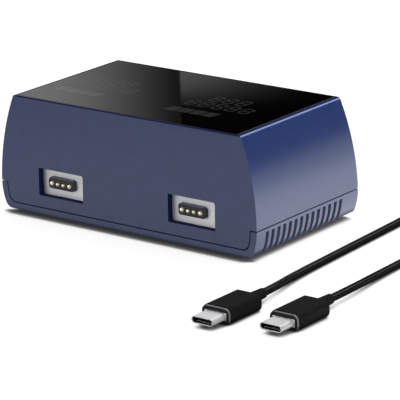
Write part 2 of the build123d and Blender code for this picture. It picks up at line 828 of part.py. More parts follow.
with BuildPart() as display_ribbon:
    with BuildSketch(Plane.YZ.offset(display_ribbon_x)):
        with BuildLine():
            FilletPolyline(
                (display_board_rear - ribbon_landing, display_board_low - ribbon_thickness / 2),
                (display_ribbon_y, display_board_low - ribbon_thickness / 2),
                (display_ribbon_y, board_top + ribbon_thickness / 2),
                (display_ribbon_y + 2 * ribbon_landing, board_top + ribbon_thickness / 2),
                radius=ribbon_landing / 2,
            )
        trace(line_width=ribbon_thickness)
    extrude(amount=ribbon_width)
save(display_ribbon, "display_ribbon")

# ---------------------------------------------------------------------------
# Lead: a plug at each end, two free runs and the wound-up middle
# ---------------------------------------------------------------------------
plug_middle = plug_body_tall / 2
relief_ends = {}

for end, x in plug_xs.items():
    collar_y = plug_tips[end] + plug_shell_length
    body_y = collar_y + plug_collar
    relief_y = body_y + plug_body_length
    relief_ends[end] = relief_y + plug_relief_length

    # Drawn steel shell with its face plate
    with BuildPart() as plug_shell:
        with BuildSketch(Plane.XZ.offset(-plug_tips[end])):
            with Locations((x, plug_middle)):
                SlotOverall(plug_shell_width, plug_shell_tall)
        extrude(amount=-plug_shell_length)
        with BuildSketch(Plane.XZ.offset(-plug_tips[end])):
            with Locations((x, plug_middle)):
                SlotOverall(
                    plug_shell_width - 2 * plug_shell_wall,
                    plug_shell_tall - 2 * plug_shell_wall,
                )
        extrude(amount=-plug_socket_depth, mode=Mode.SUBTRACT)
        with BuildSketch(Plane.XZ.offset(-collar_y)):
            with Locations((x, plug_middle)):
                RectangleRounded(
                    plug_body_width - 2 * plug_collar_step,
                    plug_body_tall - 2 * plug_collar_step,
                    plug_body_corner - plug_collar_step,
                )
        extrude(amount=-plug_collar)
    save(plug_shell, f"plug_{end}_shell")

    # Moulded body
    with BuildPart() as plug_body:
        with BuildSketch(Plane.XZ.offset(-body_y)):
            with Locations((x, plug_middle)):
                RectangleRounded(plug_body_width, plug_body_tall, plug_body_corner)
        extrude(amount=-plug_body_length)
        chamfer(plug_body.faces().sort_by(Axis.Y)[-1].edges(), plug_body_corner / 3)
    save(plug_body, f"plug_{end}_body")

    # Tapered strain relief
    with BuildPart() as plug_relief:
        with BuildSketch(Plane.XZ.offset(-relief_y)):
            with Locations((x, plug_middle)):
                Circle(cable_radius + plug_relief_wall)
        with BuildSketch(Plane.XZ.offset(-relief_ends[end])):
            with Locations((x, plug_middle)):
                Circle(cable_radius + plug_relief_end_wall)
        loft()
    save(plug_relief, f"plug_{end}_relief")

# The free runs, from each strain relief to the wound-up middle
run_points = {
    "a": [
        (78.4, relief_ends["a"], plug_middle),
        (78.4, -46.0, plug_middle),
        (75.4, -25.0, 1.4),
        (73.6, 6.0, 1.35),
        (69.9, 32.0, 1.35),
        (69.9, 48.0, 1.4),
    ],
    "b": [
        (99.2, relief_ends["b"], plug_middle),
        (99.2, -40.0, plug_middle),
        (96.2, -20.0, 1.4),
        (95.3, 8.0, 1.4),
        (103.2, 32.0, 2.8),
        (106.1, 48.0, 6.1),
    ],
}


def bend_radii(points):
    """The largest arc for each corner: 0.45 of the shorter run over the tangent of half the turn."""
    radii = []
    for before, here, after in zip(points, points[1:], points[2:]):
        arriving = Vector(*here) - Vector(*before)
        leaving = Vector(*after) - Vector(*here)
        turn = arriving.get_angle(leaving) * pi / 180
        radii.append(0.45 * min(arriving.length, leaving.length) / tan(turn / 2))
    return radii


for end, points in run_points.items():
    radii = bend_radii(points)
    with BuildPart() as run:
        with BuildLine() as route:
            FilletPolyline(*points, radius=radii)
        with BuildSketch(Plane(route.line @ 0, z_dir=route.line % 0)) as section:
            RegularPolygon(cable_radius, cable_sides)
        sweep()
    save(run, f"lead_run_{end}")
    run_length = sum(edge.length for edge in route.edges())
    expected = section.sketch.area * run_length
    print(f"run {end}: {run_length:.1f} mm, radii", [round(r) for r in radii])
    print(f"  volume {run.part.volume:.1f}, expected {expected:.1f}")

# Outer shape of the wound-up middle of the lead
coil_half = coil_columns * cable_radius
coil_tall = 2 * cable_radius * coil_layers
with BuildPart() as lead_coil:
    with BuildSketch(Plane.XY):
        with Locations(coil_centre):
            Circle(coil_radius + coil_half)
            Circle(coil_radius - coil_half, mode=Mode.SUBTRACT)
    extrude(amount=coil_tall)
    chamfer(lead_coil.edges(), cable_radius * 0.8)
save(lead_coil, "lead_coil")
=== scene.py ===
# %% [markdown]
# # A two-port battery charger, dressed for the studio
#
# The charger comes from CAD as exact solids: a bowed housing in two shells, a
# black glass top, a row of spring contacts in each port, and all the parts
# inside. This lesson gives every part its finish, lays the charging lead on
# the table, and adds the small things that CAD leaves out. Blender counts in
# metres. Sizes are written in millimetres here and turned into metres by one
# factor, in the same frame as the CAD, so a piece goes where the CAD says.

# %% Load the frame and set the unit factor
import json
from math import atan2, cos, pi, radians, sin

import bmesh
import bpy
from mathutils import Matrix, Vector


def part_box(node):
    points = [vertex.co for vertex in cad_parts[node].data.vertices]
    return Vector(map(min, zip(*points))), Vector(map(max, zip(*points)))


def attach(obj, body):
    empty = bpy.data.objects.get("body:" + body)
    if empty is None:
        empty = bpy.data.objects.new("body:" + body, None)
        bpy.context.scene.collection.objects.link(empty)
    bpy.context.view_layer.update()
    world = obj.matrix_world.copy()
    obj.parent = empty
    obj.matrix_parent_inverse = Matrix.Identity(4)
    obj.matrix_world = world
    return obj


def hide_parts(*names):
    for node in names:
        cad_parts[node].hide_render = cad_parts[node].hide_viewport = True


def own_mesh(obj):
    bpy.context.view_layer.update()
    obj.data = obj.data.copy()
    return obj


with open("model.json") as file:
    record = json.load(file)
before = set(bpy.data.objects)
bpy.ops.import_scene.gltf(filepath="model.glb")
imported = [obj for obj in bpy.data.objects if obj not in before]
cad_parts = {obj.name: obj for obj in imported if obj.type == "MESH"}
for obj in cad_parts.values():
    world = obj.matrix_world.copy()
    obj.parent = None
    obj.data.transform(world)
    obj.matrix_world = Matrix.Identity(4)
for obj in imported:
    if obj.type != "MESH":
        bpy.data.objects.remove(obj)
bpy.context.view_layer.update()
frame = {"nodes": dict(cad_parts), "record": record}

MM = 0.001


# %% [markdown]
# ## The camera
#
# A product camera stands far back with a long lens, so that upright edges
# stay nearly parallel. It could be aimed with a Track To constraint, but a
# matrix built from three axes also takes the slight tilt of the tripod. The
# first axis runs from the target back to the camera, the second to the right.

# %% Camera
AZIMUTH = radians(38.2506)
ELEVATION = radians(17.168)
TILT = radians(-1.784)
TARGET = Vector((9.37, 0.0, 6.66)) * MM
DISTANCE = 955.8 * MM
LENS = 252.02

back = Vector((sin(AZIMUTH) * cos(ELEVATION), -cos(AZIMUTH) * cos(ELEVATION), sin(ELEVATION)))
level = Vector((cos(AZIMUTH), sin(AZIMUTH), 0.0))
upright = back.cross(level)
right = cos(TILT) * level + sin(TILT) * upright
up = -sin(TILT) * level + cos(TILT) * upright

eye = bpy.data.cameras.new("camera")
eye.lens = LENS
eye.sensor_width = 36
eye.clip_start = 0.05
eye.clip_end = 20
camera = bpy.data.objects.new("camera", eye)
axes = Matrix((right, up, back)).transposed().to_4x4()
camera.matrix_world = Matrix.Translation(TARGET + back * DISTANCE) @ axes
bpy.context.collection.objects.link(camera)
bpy.context.scene.camera = camera
bpy.context.scene.view_settings.view_transform = "Standard"
print("camera stands at", [round(v, 3) for v in camera.matrix_world.translation])


# %% [markdown]
# ## Helpers for finishes
#
# Every finish is a tree of shader nodes. Making a node takes three steps:
# create it, set its values, link its inputs. One helper does all three, so
# the cells that follow read like the tree itself.

# %% Node helpers
def add(tree, kind, inputs=None, **settings):
    """A new shader node; an input is linked if it is given a socket."""
    made = tree.nodes.new("ShaderNode" + kind)
    for name, value in settings.items():
        setattr(made, name, value)
    for name, value in (inputs or {}).items():
        if isinstance(value, bpy.types.NodeSocket):
            tree.links.new(value, made.inputs[name])
        else:
            made.inputs[name].default_value = value
    return made


def calc(tree, operation, first, second=0.0):
    """One arithmetic step on two values."""
    return add(tree, "Math", {0: first, 1: second}, operation=operation).outputs[0]


def product(tree, *values):
    """Several values multiplied; of masks, 1 only where every one is 1."""
    result = values[0]
    for value in values[1:]:
        result = calc(tree, "MULTIPLY", result, value)
    return result


def between(tree, value, low, high, to_low=0.0, to_high=1.0):
    """Runs softly from to_low to to_high while the value runs from low to high."""
    inputs = {"Value": value, "From Min": low, "From Max": high, "To Min": to_low, "To Max": to_high}
    return add(tree, "MapRange", inputs, interpolation_type="SMOOTHSTEP").outputs[0]


def blend(tree, share, first, second):
    """Two values mixed by a share from 0 to 1."""
    return add(tree, "Mix", {0: share, 2: first, 3: second}).outputs[0]


def blend_colours(tree, share, first, second):
    """Two colours mixed by a share from 0 to 1."""
    first, second = [(*value, 1.0) if isinstance(value, tuple) else value for value in (first, second)]
    return add(tree, "Mix", {0: share, 6: first, 7: second}, data_type="RGBA").outputs[2]


print("node helpers ready")


# %% Place and direction
def place(tree):
    """Where a point of the piece is, in metres."""
    return add(tree, "TexCoord").outputs["Object"]


def along(tree, vector, direction):
    """How far a vector reaches in a direction."""
    return add(tree, "VectorMath", {0: vector, 1: direction}, operation="DOT_PRODUCT").outputs["Value"]


print("place and direction ready")


# %% [markdown]
# ## Four surface effects that finishes share
#
# ** Grain** is the fine pebble of a moulded or lacquered skin. **Worn edge and sheen **
# finds edges by asking a Bevel node how a rounded edge would face: where that
# differs from the real face, an edge is near. The lighter colour that finishes
# give such an edge is partly wear and partly a painted highlight. **Smudge** is
# the broad, faint unevenness that keeps a clean surface from looking computed.
# **Brushed** is noise drawn out along one axis, as an abrasive belt leaves on
# steel. Each is built once as a node group and placed in many materials with its
# own sizes.

# %% Group helpers
def new_group(name, inputs, outputs):
    """An empty node group that takes a place and other inputs, with their values."""
    group = bpy.data.node_groups.new(name, "ShaderNodeTree")
    for socket, value in {"Place": (0, 0, 0), **inputs}.items():
        kind = "Vector" if isinstance(value, tuple) else "Float"
        made = group.interface.new_socket(socket, in_out="INPUT", socket_type="NodeSocket" + kind)
        made.default_value = value
    for socket, kind in outputs.items():
        group.interface.new_socket(socket, in_out="OUTPUT", socket_type="NodeSocket" + kind)
    return group, group.nodes.new("NodeGroupInput").outputs, group.nodes.new("NodeGroupOutput").inputs


def use_group(tree, group, **inputs):
    """A node group placed in a material; its outputs are returned."""
    return add(tree, "Group", {**inputs, "Place": place(tree)}, node_tree=group).outputs


def noise(tree, vector, scale, detail, **more):
    """Noise from 0 to 1 at so many lumps to the metre."""
    return add(tree, "TexNoise", {"Vector": vector, "Scale": scale, "Detail": detail, **more}).outputs[0]


print("group helpers ready")

# %% Grain
CLOUD_BREADTH = 9.0  # the mottle's clouds are that much broader than a pebble
CLOUD_SHARE = 0.4
grain, given, result = new_group("grain", {"Size": 0.4}, {"Height": "Float", "Mottle": "Float"})
per_metre = calc(grain, "DIVIDE", 1 / MM, given["Size"])
pebble = noise(grain, given["Place"], per_metre, 2.0, Roughness=0.6)
cloud = noise(grain, given["Place"], calc(grain, "DIVIDE", per_metre, CLOUD_BREADTH), 3.0)
grain.links.new(pebble, result["Height"])
grain.links.new(blend(grain, CLOUD_SHARE, pebble, cloud), result["Mottle"])
print("grain group:", len(grain.nodes), "nodes")

# %% Worn edge and painted edge highlight
EDGE_STARTS, EDGE_IS_FULL = 0.995, 0.90  # how alike the rounded and the real face look
PATCHES_PER_METRE = 900.0
PATCHES_TAKE = 0.5  # at most, of the wear
outputs = {"Edge": "Float", "Normal": "Vector"}
worn_edge_and_sheen, given, result = new_group("worn edge and sheen", {"Width": 0.3 * MM}, outputs)
rounded = add(worn_edge_and_sheen, "Bevel", {"Radius": given["Width"]}, samples=4).outputs[0]
alike = along(worn_edge_and_sheen, rounded, add(worn_edge_and_sheen, "NewGeometry").outputs["Normal"])
edge = between(worn_edge_and_sheen, alike, EDGE_STARTS, EDGE_IS_FULL)
patchy = noise(worn_edge_and_sheen, given["Place"], PATCHES_PER_METRE, 3.0)
kept = calc(worn_edge_and_sheen, "SUBTRACT", 1.0, product(worn_edge_and_sheen, patchy, PATCHES_TAKE))
worn_edge_and_sheen.links.new(product(worn_edge_and_sheen, edge, kept), result["Edge"])
worn_edge_and_sheen.links.new(rounded, result["Normal"])
print("worn edge and sheen group:", len(worn_edge_and_sheen.nodes), "nodes")

# %% Smudge
BROAD_PER_METRE, FINE_PER_METRE = 45.0, 700.0
FINE_SHARE = 0.25
MOST_OF_NOISE = (0.3, 0.7)  # the range that most of a noise lies in
smudge, given, result = new_group("smudge", {"Low": 0.3, "High": 0.4}, {"Value": "Float"})
broad = noise(smudge, given["Place"], BROAD_PER_METRE, 4.0, Distortion=0.6)
fine = noise(smudge, given["Place"], FINE_PER_METRE, 2.0)
mixed = blend(smudge, FINE_SHARE, broad, fine)
smudge.links.new(between(smudge, mixed, *MOST_OF_NOISE, given["Low"], given["High"]), result["Value"])
print("smudge group:", len(smudge.nodes), "nodes")

# %% Brushed
outputs = {"Height": "Float", "Value": "Float"}
brushed, given, result = new_group("brushed", {"Stretch": (60, 4000, 4000)}, outputs)
drawn_out = add(brushed, "VectorMath", {0: given["Place"], 1: given["Stretch"]}, operation="MULTIPLY")
hairlines = noise(brushed, drawn_out.outputs[0], 1.0, 3.0)
brushed.links.new(hairlines, result["Height"])
brushed.links.new(between(brushed, hairlines, 0.25, 0.75), result["Value"])
print("brushed group:", len(brushed.nodes), "nodes")


# %% Material helpers
def new_material(name, **shader_values):
    """A material with one Principled shader; an underscore stands for a space."""
    material = bpy.data.materials.new(name)
    material.use_nodes = True
    tree, shader = opened(material)
    for key, value in shader_values.items():
        shader.inputs[key.replace("_", " ")].default_value = value
    return material


def opened(material):
    """The tree and the shader of a material, to add something to them."""
    return material.node_tree, material.node_tree.nodes["Principled BSDF"]


print("material helpers ready")


# %% A finish made of the effects
# A lighter edge is partly wear and partly a painted highlight; the edge colour below gives both.
METAL_EDGE, PLASTIC_EDGE = (1.25, 0.0), (2.2, 0.01)  # a worn edge's colour: times, and plus


def finish(name, dark, light, roughness, pebble, stretch=None, edges=0.0, soften=0.3, **values):
    """Mottled colour, a pebble or hairlines, uneven gloss and softened edges.

    The pebble is its size and depth, and a stretch draws it out to hairlines along one axis.
    Edges is how much the lighter edge shows, partly wear and partly a painted highlight, and soften how
    wide it is rounded. Sizes are in millimetres.
    """
    material = new_material(name, **values)
    tree, shader = opened(material)
    size, depth = pebble
    edge = use_group(tree, worn_edge_and_sheen, Width=soften * MM)
    if stretch:
        surface = use_group(tree, brushed, Stretch=stretch)
        share = surface["Value"]
    else:
        surface = use_group(tree, grain, Size=size)
        share = between(tree, surface["Mottle"], *MOST_OF_NOISE)
    colour = blend_colours(tree, share, dark, light)
    # Painted highlight, with some wear: a lighter colour along the edges.
    if edges:
        gain, lift = METAL_EDGE if "Metallic" in values else PLASTIC_EDGE
        bright = tuple(min(1.0, v * gain + lift) for v in light)
        colour = blend_colours(tree, product(tree, edge["Edge"], edges), colour, bright)
    gloss = use_group(tree, smudge, Low=roughness[0], High=roughness[1])
    relief = {"Height": surface["Height"], "Distance": depth * MM, "Normal": edge["Normal"]}
    tree.links.new(colour, shader.inputs["Base Color"])
    tree.links.new(gloss["Value"], shader.inputs["Roughness"])
    tree.links.new(add(tree, "Bump", relief).outputs[0], shader.inputs["Normal"])
    return material


def finishes_from(table):
    """One finish from every row of a table, by name."""
    return {name: finish(name.replace("_", " "), *look, **more) for name, (*look, more) in table.items()}


print("finish helpers ready")


# %% [markdown]
# ## The blue lacquer
#
# The two shells are plastic under a satin lacquer of deep royal blue. A blue
# base alone looks like paint on paper. The depth comes from a clear coat with
# a high index: it mirrors the pale studio weakly face on and strongly at a
# glance, so the bowed sides run from royal blue at the top to a greyed
# lavender near the table.
#
# Some places differ, and their colours are painted light and shade. The
# rounded top edges carry a painted highlight, a line of brighter blue. The
# narrow rim round the glass and a thin band along the top of the end walls are
# painted shade in a darker navy. The inside of the ports is painted shade in a
# dark navy, and the walls of the vents are painted light in a paler slate. The
# ports and the vents' walls also lack the clear coat. Each is a mask made from
# the place of a point and the way its face looks.

# %% Housing lacquer
housing_blue = finish(
    "housing blue",
    dark=(0.013, 0.036, 0.158),
    light=(0.018, 0.048, 0.202),
    roughness=(0.42, 0.50),
    pebble=(0.42, 0.006),
    # lighter edges: partly wear, partly a painted highlight
    edges=0.25,
    soften=0.15,
    IOR=1.5,
    Specular_IOR_Level=0.1,
    Coat_Roughness=0.20,
    Coat_IOR=2.0,
)
print("lacquer:", len(housing_blue.node_tree.nodes), "nodes")

# %% Helpers for masks
def split(tree, vector):
    """The X, Y and Z of a vector."""
    return add(tree, "SeparateXYZ", {0: vector}).outputs


def facing(tree):
    """The X, Y and Z of the direction that a face looks in."""
    return split(tree, add(tree, "NewGeometry").outputs["Normal"])


def apart(tree, value, middle):
    """The distance of a value from a middle."""
    return calc(tree, "ABSOLUTE", calc(tree, "SUBTRACT", value, middle))


def near(tree, value, middle, reach):
    """1 where a value is within reach of a middle, else 0."""
    return calc(tree, "LESS_THAN", apart(tree, value, middle), reach)


print("mask helpers ready")

# %% Masks for the rim, top edges, ports and vents
RIM_FROM = 39.5 * MM  # only the rim and its rounding look up from here on
BROW_FROM = 41.7 * MM  # the dark line along the top of the end walls
MOSTLY, SQUARELY = 0.5, 0.9  # how much a face looks along an axis
STARTS_ROUND, IS_ROUND = 0.42, 0.50  # the same, upward
ENDS_ROUND, IS_FLAT = 0.72, 0.84
PORT_X, PORT_Z = 28.2 * MM, 13.05 * MM
PORT_HALF = (9.82 * MM, 4.87 * MM)
VENTS_Y, VENTS_HALF = -2.1 * MM, 21.7 * MM
VENTS_TOP = 9.6 * MM

tree, shader = opened(housing_blue)
faces = facing(tree)
spot = split(tree, place(tree))
endways = calc(tree, "ABSOLUTE", faces["Y"])
high_up = calc(tree, "GREATER_THAN", spot["Z"], RIM_FROM)
# Painted shade: the flat rim round the glass and the brow along the top of the end walls are coloured a
# darker navy.
flat_rim = product(tree, high_up, between(tree, faces["Z"], ENDS_ROUND, IS_FLAT))
brow = product(
    tree,
    calc(tree, "GREATER_THAN", spot["Z"], BROW_FROM),
    calc(tree, "GREATER_THAN", endways, MOSTLY),
)
rim = calc(tree, "MAXIMUM", flat_rim, brow)
# Painted highlight: the rounded top edges are coloured a brighter blue.
painted_top_highlight = product(
    tree,
    high_up,
    between(tree, faces["Z"], STARTS_ROUND, IS_ROUND),
    between(tree, faces["Z"], IS_FLAT, ENDS_ROUND),
)
# Painted shade: the inside of each port is coloured a dark navy.
in_port = product(
    tree,
    near(tree, calc(tree, "ABSOLUTE", spot["X"]), PORT_X, PORT_HALF[0]),
    near(tree, spot["Z"], PORT_Z, PORT_HALF[1]),
    calc(tree, "LESS_THAN", spot["Y"], 0.0),
)
# Painted light: the walls of the vent slots are coloured a lighter slate against the slots' own shade.
in_vent = product(
    tree,
    near(tree, spot["Y"], VENTS_Y, VENTS_HALF),
    calc(tree, "LESS_THAN", spot["Z"], VENTS_TOP),
    calc(tree, "GREATER_THAN", endways, SQUARELY),
)
print("masks made from place and direction")


# %% Colours and gloss of those places
def overlay(tree, shader, name, mask, value):
    """Gives an input of a shader another value, or another colour, where a mask is 1."""
    mix = blend_colours if isinstance(value, tuple) else blend
    under = shader.inputs[name].links[0].from_socket
    tree.links.new(mix(tree, mask, under, value), shader.inputs[name])


# Painted light and shade in these colours: the rim's darker navy and the ports' dark navy are painted
# shade, the top edges' brighter blue is a painted highlight, and the vents' slate is painted light.
for mask, colour in (
    (rim, (0.009, 0.016, 0.072)),
    (painted_top_highlight, (0.050, 0.120, 0.400)),
    (in_port, (0.009, 0.013, 0.062)),
    (in_vent, (0.160, 0.180, 0.290)),
):
    overlay(tree, shader, "Base Color", mask, colour)
for mask, roughness in ((rim, 0.10), (in_port, 0.90)):
    overlay(tree, shader, "Roughness", mask, roughness)

RIM_LACKS = 0.9  # of its clear coat
uncoated = calc(tree, "MAXIMUM", in_port, in_vent)
uncoated = calc(tree, "MAXIMUM", product(tree, rim, RIM_LACKS), uncoated)
tree.links.new(calc(tree, "SUBTRACT", 1.0, uncoated), shader.inputs["Coat Weight"])
print("housing blue:", len(tree.nodes), "nodes")


# %% [markdown]
# ## The black glass
#
# The top is one sheet of glass with a black back. A transparent material over
# a black one would work, but the light that gets through is lost anyway, so a
# black base under a glossy surface gives the same picture for less. A trace
# of unevenness in the gloss keeps it from being a perfect mirror, and a few
# specks of dust lie on it.

# %% Glass and display marks
DUST_SIZE = 0.25
DUST_FROM, DUST_FULL = 0.74, 0.80  # only the peaks of the noise
DUST_LIGHT = 0.012


def black_glass(name, shade):
    """Glossy black with that much grey behind the surface."""
    material = new_material(name, IOR=1.5)
    tree, shader = opened(material)
    speck = between(tree, use_group(tree, grain, Size=DUST_SIZE)["Height"], DUST_FROM, DUST_FULL)
    colour = blend_colours(tree, speck, (shade, shade, shade * 1.05), (shade + DUST_LIGHT,) * 3)
    tree.links.new(colour, shader.inputs["Base Color"])
    wipe = use_group(tree, smudge, Low=0.012, High=0.032)
    tree.links.new(wipe["Value"], shader.inputs["Roughness"])
    return material


glass_black = black_glass("glass black", 0.0008)
display_mark = black_glass("display mark", 0.027)
print("glass finishes ready")


# %% [markdown]
# ## Metals
#
# The port plates are satin steel, with a painted sheen that makes them brighter
# towards the lower right. The contacts are plated with pale gold, in barrels of
# brass far darker than the gold. Screws, springs and the inlet are plain steel.
# The plugs' shells are bead-blasted nickel. The collar that a shell stands in is
# part of the same solid, so masks made from place and direction give it a darker
# grey and a black front, which is painted shade.
#
# Metals show little colour of their own: what matters is how rough they are
# and in which direction, so each takes its hairlines or grain from a group.

# %% Steel, gold and nickel
METAL = {"Metallic": 1.0, "edges": 1.0, "soften": 0.2}
METALS = {  # dark and light colour, roughness, pebble, and what is special
    "steel_plain": [(0.50, 0.50, 0.52), (0.66, 0.66, 0.68), (0.22, 0.34), (0.2, 0.002),
                    {**METAL, "stretch": (4000, 60, 4000)}],
    "contact_gold": [(0.90, 0.80, 0.55), (0.98, 0.93, 0.74), (0.12, 0.20), (0.12, 0.0004),
                     {**METAL, "soften": 0.5}],
    "barrel_brass": [(0.060, 0.050, 0.032), (0.110, 0.092, 0.058), (0.34, 0.46), (0.12, 0.0006), METAL],
    "sink_black": [(0.030, 0.030, 0.033), (0.050, 0.050, 0.054), (0.40, 0.52), (0.2, 0.004),
                   {**METAL, "stretch": (60, 3000, 3000)}],
    "capacitor_can": [(0.60, 0.60, 0.62), (0.74, 0.74, 0.76), (0.22, 0.30), (0.15, 0.002), METAL],
    "plug_nickel": [(0.76, 0.76, 0.77), (0.86, 0.86, 0.87), (0.46, 0.56), (0.10, 0.001),
                    {**METAL, "Metallic": 0.75}],
    "plate_steel": [(0.80, 0.81, 0.85), (0.87, 0.88, 0.91), (0.42, 0.52), (0.2, 0.002),
                    {**METAL, "Metallic": 0.85, "stretch": (80, 4000, 4000)}],
}
metals = finishes_from(METALS)
print("metals:", ", ".join(metals))

# %% Where the plugs lie
PLUGS = {}  # x, tip and z of each metal shell
for end in "ab":
    low, high = [Vector(corner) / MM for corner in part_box(f"plug_{end}_shell")]
    PLUGS[end] = ((low.x + high.x) / 2, low.y, (low.z + high.z) / 2)
    print("plug", end, "at", [round(v, 2) for v in PLUGS[end]])

# %% The collar of the plugs' shells
SHELL_HALF = (4.14 * MM, 1.22 * MM)  # just past the metal shell, so the collar lies outside
x_a, x_b = PLUGS["a"][0] * MM, PLUGS["b"][0] * MM

tree, shader = opened(metals["plug_nickel"])
spot = split(tree, place(tree))
sideways = apart(tree, apart(tree, spot["X"], (x_a + x_b) / 2), (x_b - x_a) / 2)
upward = apart(tree, spot["Z"], PLUGS["a"][2] * MM)
collar = calc(tree, "MAXIMUM", calc(tree, "GREATER_THAN", sideways, SHELL_HALF[0]),
              calc(tree, "GREATER_THAN", upward, SHELL_HALF[1]))
# Painted shade: the collar's faces that look to the front are coloured black.
painted_collar_shade = product(tree, collar, calc(tree, "LESS_THAN", facing(tree)["Y"], -SQUARELY))
overlay(tree, shader, "Base Color", collar, (0.26, 0.26, 0.27))
overlay(tree, shader, "Base Color", painted_collar_shade, (0.012, 0.012, 0.013))
print("plug nickel:", len(tree.nodes), "nodes")

# %% The painted sheen on the port plates
SHEEN_STARTS_AT, SHEEN_FULL_AT = -0.4, 0.9  # across the plate, from the upper left to the lower right
tree, shader = opened(metals["plate_steel"])
across = split(tree, add(tree, "TexCoord").outputs["Generated"])
# Painted sheen: the plate's colour grows paler from the upper left to the lower right.
painted_sheen = between(tree, calc(tree, "SUBTRACT", across["X"], across["Z"]), SHEEN_STARTS_AT, SHEEN_FULL_AT)
overlay(tree, shader, "Base Color", painted_sheen, (0.99, 0.99, 1.0))
print("port plate:", len(tree.nodes), "nodes")


# %% [markdown]
# ## Black plastics, rubber and the parts inside
#
# Black is never one thing: the plugs' soft-touch skin swallows light, the
# cable's jacket is wiped to a satin sheen on top and keeps a matt bloom
# underneath, the contact block is a hard moulding, and the feet are matt
# rubber. The parts inside show only through the vents, yet each has its own
# finish, so the charger can be opened up in a picture. They differ in their
# values alone, so one table holds them all.

# %% Plastics and rubber
PLASTICS = {  # the same columns
    "plug_black": [(0.0045, 0.0045, 0.0048), (0.0080, 0.0080, 0.0084), (0.60, 0.72), (0.22, 0.003),
                   {"Specular_IOR_Level": 0.10}],
    "cable_black": [(0.0020, 0.0017, 0.0014), (0.0038, 0.0032, 0.0027), (0.22, 0.30), (0.35, 0.0012),
                    {"Specular_IOR_Level": 0.20}],
    "block_black": [(0.013, 0.015, 0.038), (0.019, 0.021, 0.050), (0.36, 0.48), (0.18, 0.002),
                    {"edges": 0.8, "Coat_Weight": 0.3, "Coat_Roughness": 0.25}],
    "rubber_black": [(0.012, 0.012, 0.012), (0.022, 0.022, 0.022), (0.80, 0.92), (0.30, 0.010),
                     {"Specular_IOR_Level": 0.25}],
    "strap_black": [(0.010, 0.010, 0.011), (0.030, 0.030, 0.032), (0.85, 0.95), (0.35, 0.12),
                    {"Specular_IOR_Level": 0.2}],
    "blower_black": [(0.010, 0.010, 0.011), (0.020, 0.020, 0.021), (0.50, 0.62), (0.35, 0.006), {}],
    "chip_black": [(0.014, 0.014, 0.015), (0.026, 0.026, 0.027), (0.50, 0.60), (0.15, 0.003), {}],
    "inductor_grey": [(0.070, 0.070, 0.075), (0.120, 0.120, 0.125), (0.62, 0.75), (0.25, 0.010), {}],
    "display_grey": [(0.010, 0.011, 0.012), (0.016, 0.017, 0.018), (0.20, 0.28), (0.50, 0.001), {}],
    "ribbon_tan": [(0.42, 0.26, 0.10), (0.52, 0.33, 0.14), (0.30, 0.40), (0.50, 0.001), {}],
    "board_green": [(0.006, 0.060, 0.022), (0.010, 0.085, 0.034), (0.26, 0.34), (0.30, 0.001), {}],
}
plastics = finishes_from(PLASTICS)
print("plastics:", ", ".join(plastics))

# %% The cable's matt underside and the boards' tracks
WIPED_ABOVE, MATT_BELOW = 0.38, 0.18  # how much the jacket looks up
tree, shader = opened(plastics["cable_black"])
bloom = between(tree, facing(tree)["Z"], WIPED_ABOVE, MATT_BELOW)
overlay(tree, shader, "Roughness", bloom, 0.90)

TRACKS_PER_METRE = 260.0
TRACK_OUTSIDE, TRACK_INSIDE = 0.10, 0.06  # from the edge of a cell of the pattern
tree, shader = opened(plastics["board_green"])
cells = add(tree, "TexVoronoi", {"Vector": place(tree), "Scale": TRACKS_PER_METRE},
            distance="CHEBYCHEV", feature="DISTANCE_TO_EDGE")
track = between(tree, cells.outputs["Distance"], TRACK_OUTSIDE, TRACK_INSIDE)
overlay(tree, shader, "Base Color", track, (0.030, 0.170, 0.070))
print("board green:", len(tree.nodes), "nodes")


# %% [markdown]
# ## Dressing the CAD parts
#
# Each CAD part names a material slot in the model's record. One table from
# slot to finish dresses them all. The plugs' shells and the contacts' barrels
# are the exceptions: they differ from the other steel and gold parts.

# %% Finishes by slot
FINISHES = {
    **plastics,
    **metals,
    "housing_blue": housing_blue,
    "glass_black": glass_black,
    "capacitor_sleeve": metals["capacitor_can"],
}
EXCEPTIONS = {
    "plug_a_shell": "plug_nickel", "contact_barrels_left": "barrel_brass",
    "plug_b_shell": "plug_nickel", "contact_barrels_right": "barrel_brass",
}
for part in frame["record"]["subparts"]:
    look = EXCEPTIONS.get(part["node"], part["material_slot"])
    frame["nodes"][part["node"]].data.materials[0] = FINISHES[look]


# %% [markdown]
# ## The lead
#
# A charging lead is a limp rubber cable, 2.6 mm thick and about a metre long
# over its plugs. It lies on the table: straight out of one plug, along the
# charger, into a neat coil, and out again to the other plug. Its line is one
# smooth spline. A chain of short straight tubes would kink, and a spline
# through a few chosen points bends as rubber does.
#
# The coil's section has room for three turns side by side and three on top of
# each other. From one place in the stack to the next the cable needs a short
# slant, and each slant sits a little before the one under it, so no turn runs
# through another.

# %% Route of the lead
CABLE = 2.6 * MM
RUN_A = [
    (78.4, -58.6, 2.8), (78.2, -51.5, 2.8), (74.4, -36.0, 1.4),
    (72.7, -3.0, 1.35), (71.2, 28.0, 1.35), (69.9, 48.0, 1.4),
]
RUN_B = [
    (99.2, -51.8, 2.8), (99.2, -40.0, 2.8), (96.2, -20.0, 1.4),
    (95.3, 8.0, 1.4), (103.2, 32.0, 2.8), (106.1, 48.0, 6.1),
]
print("run a has", len(RUN_A), "points and run b", len(RUN_B))

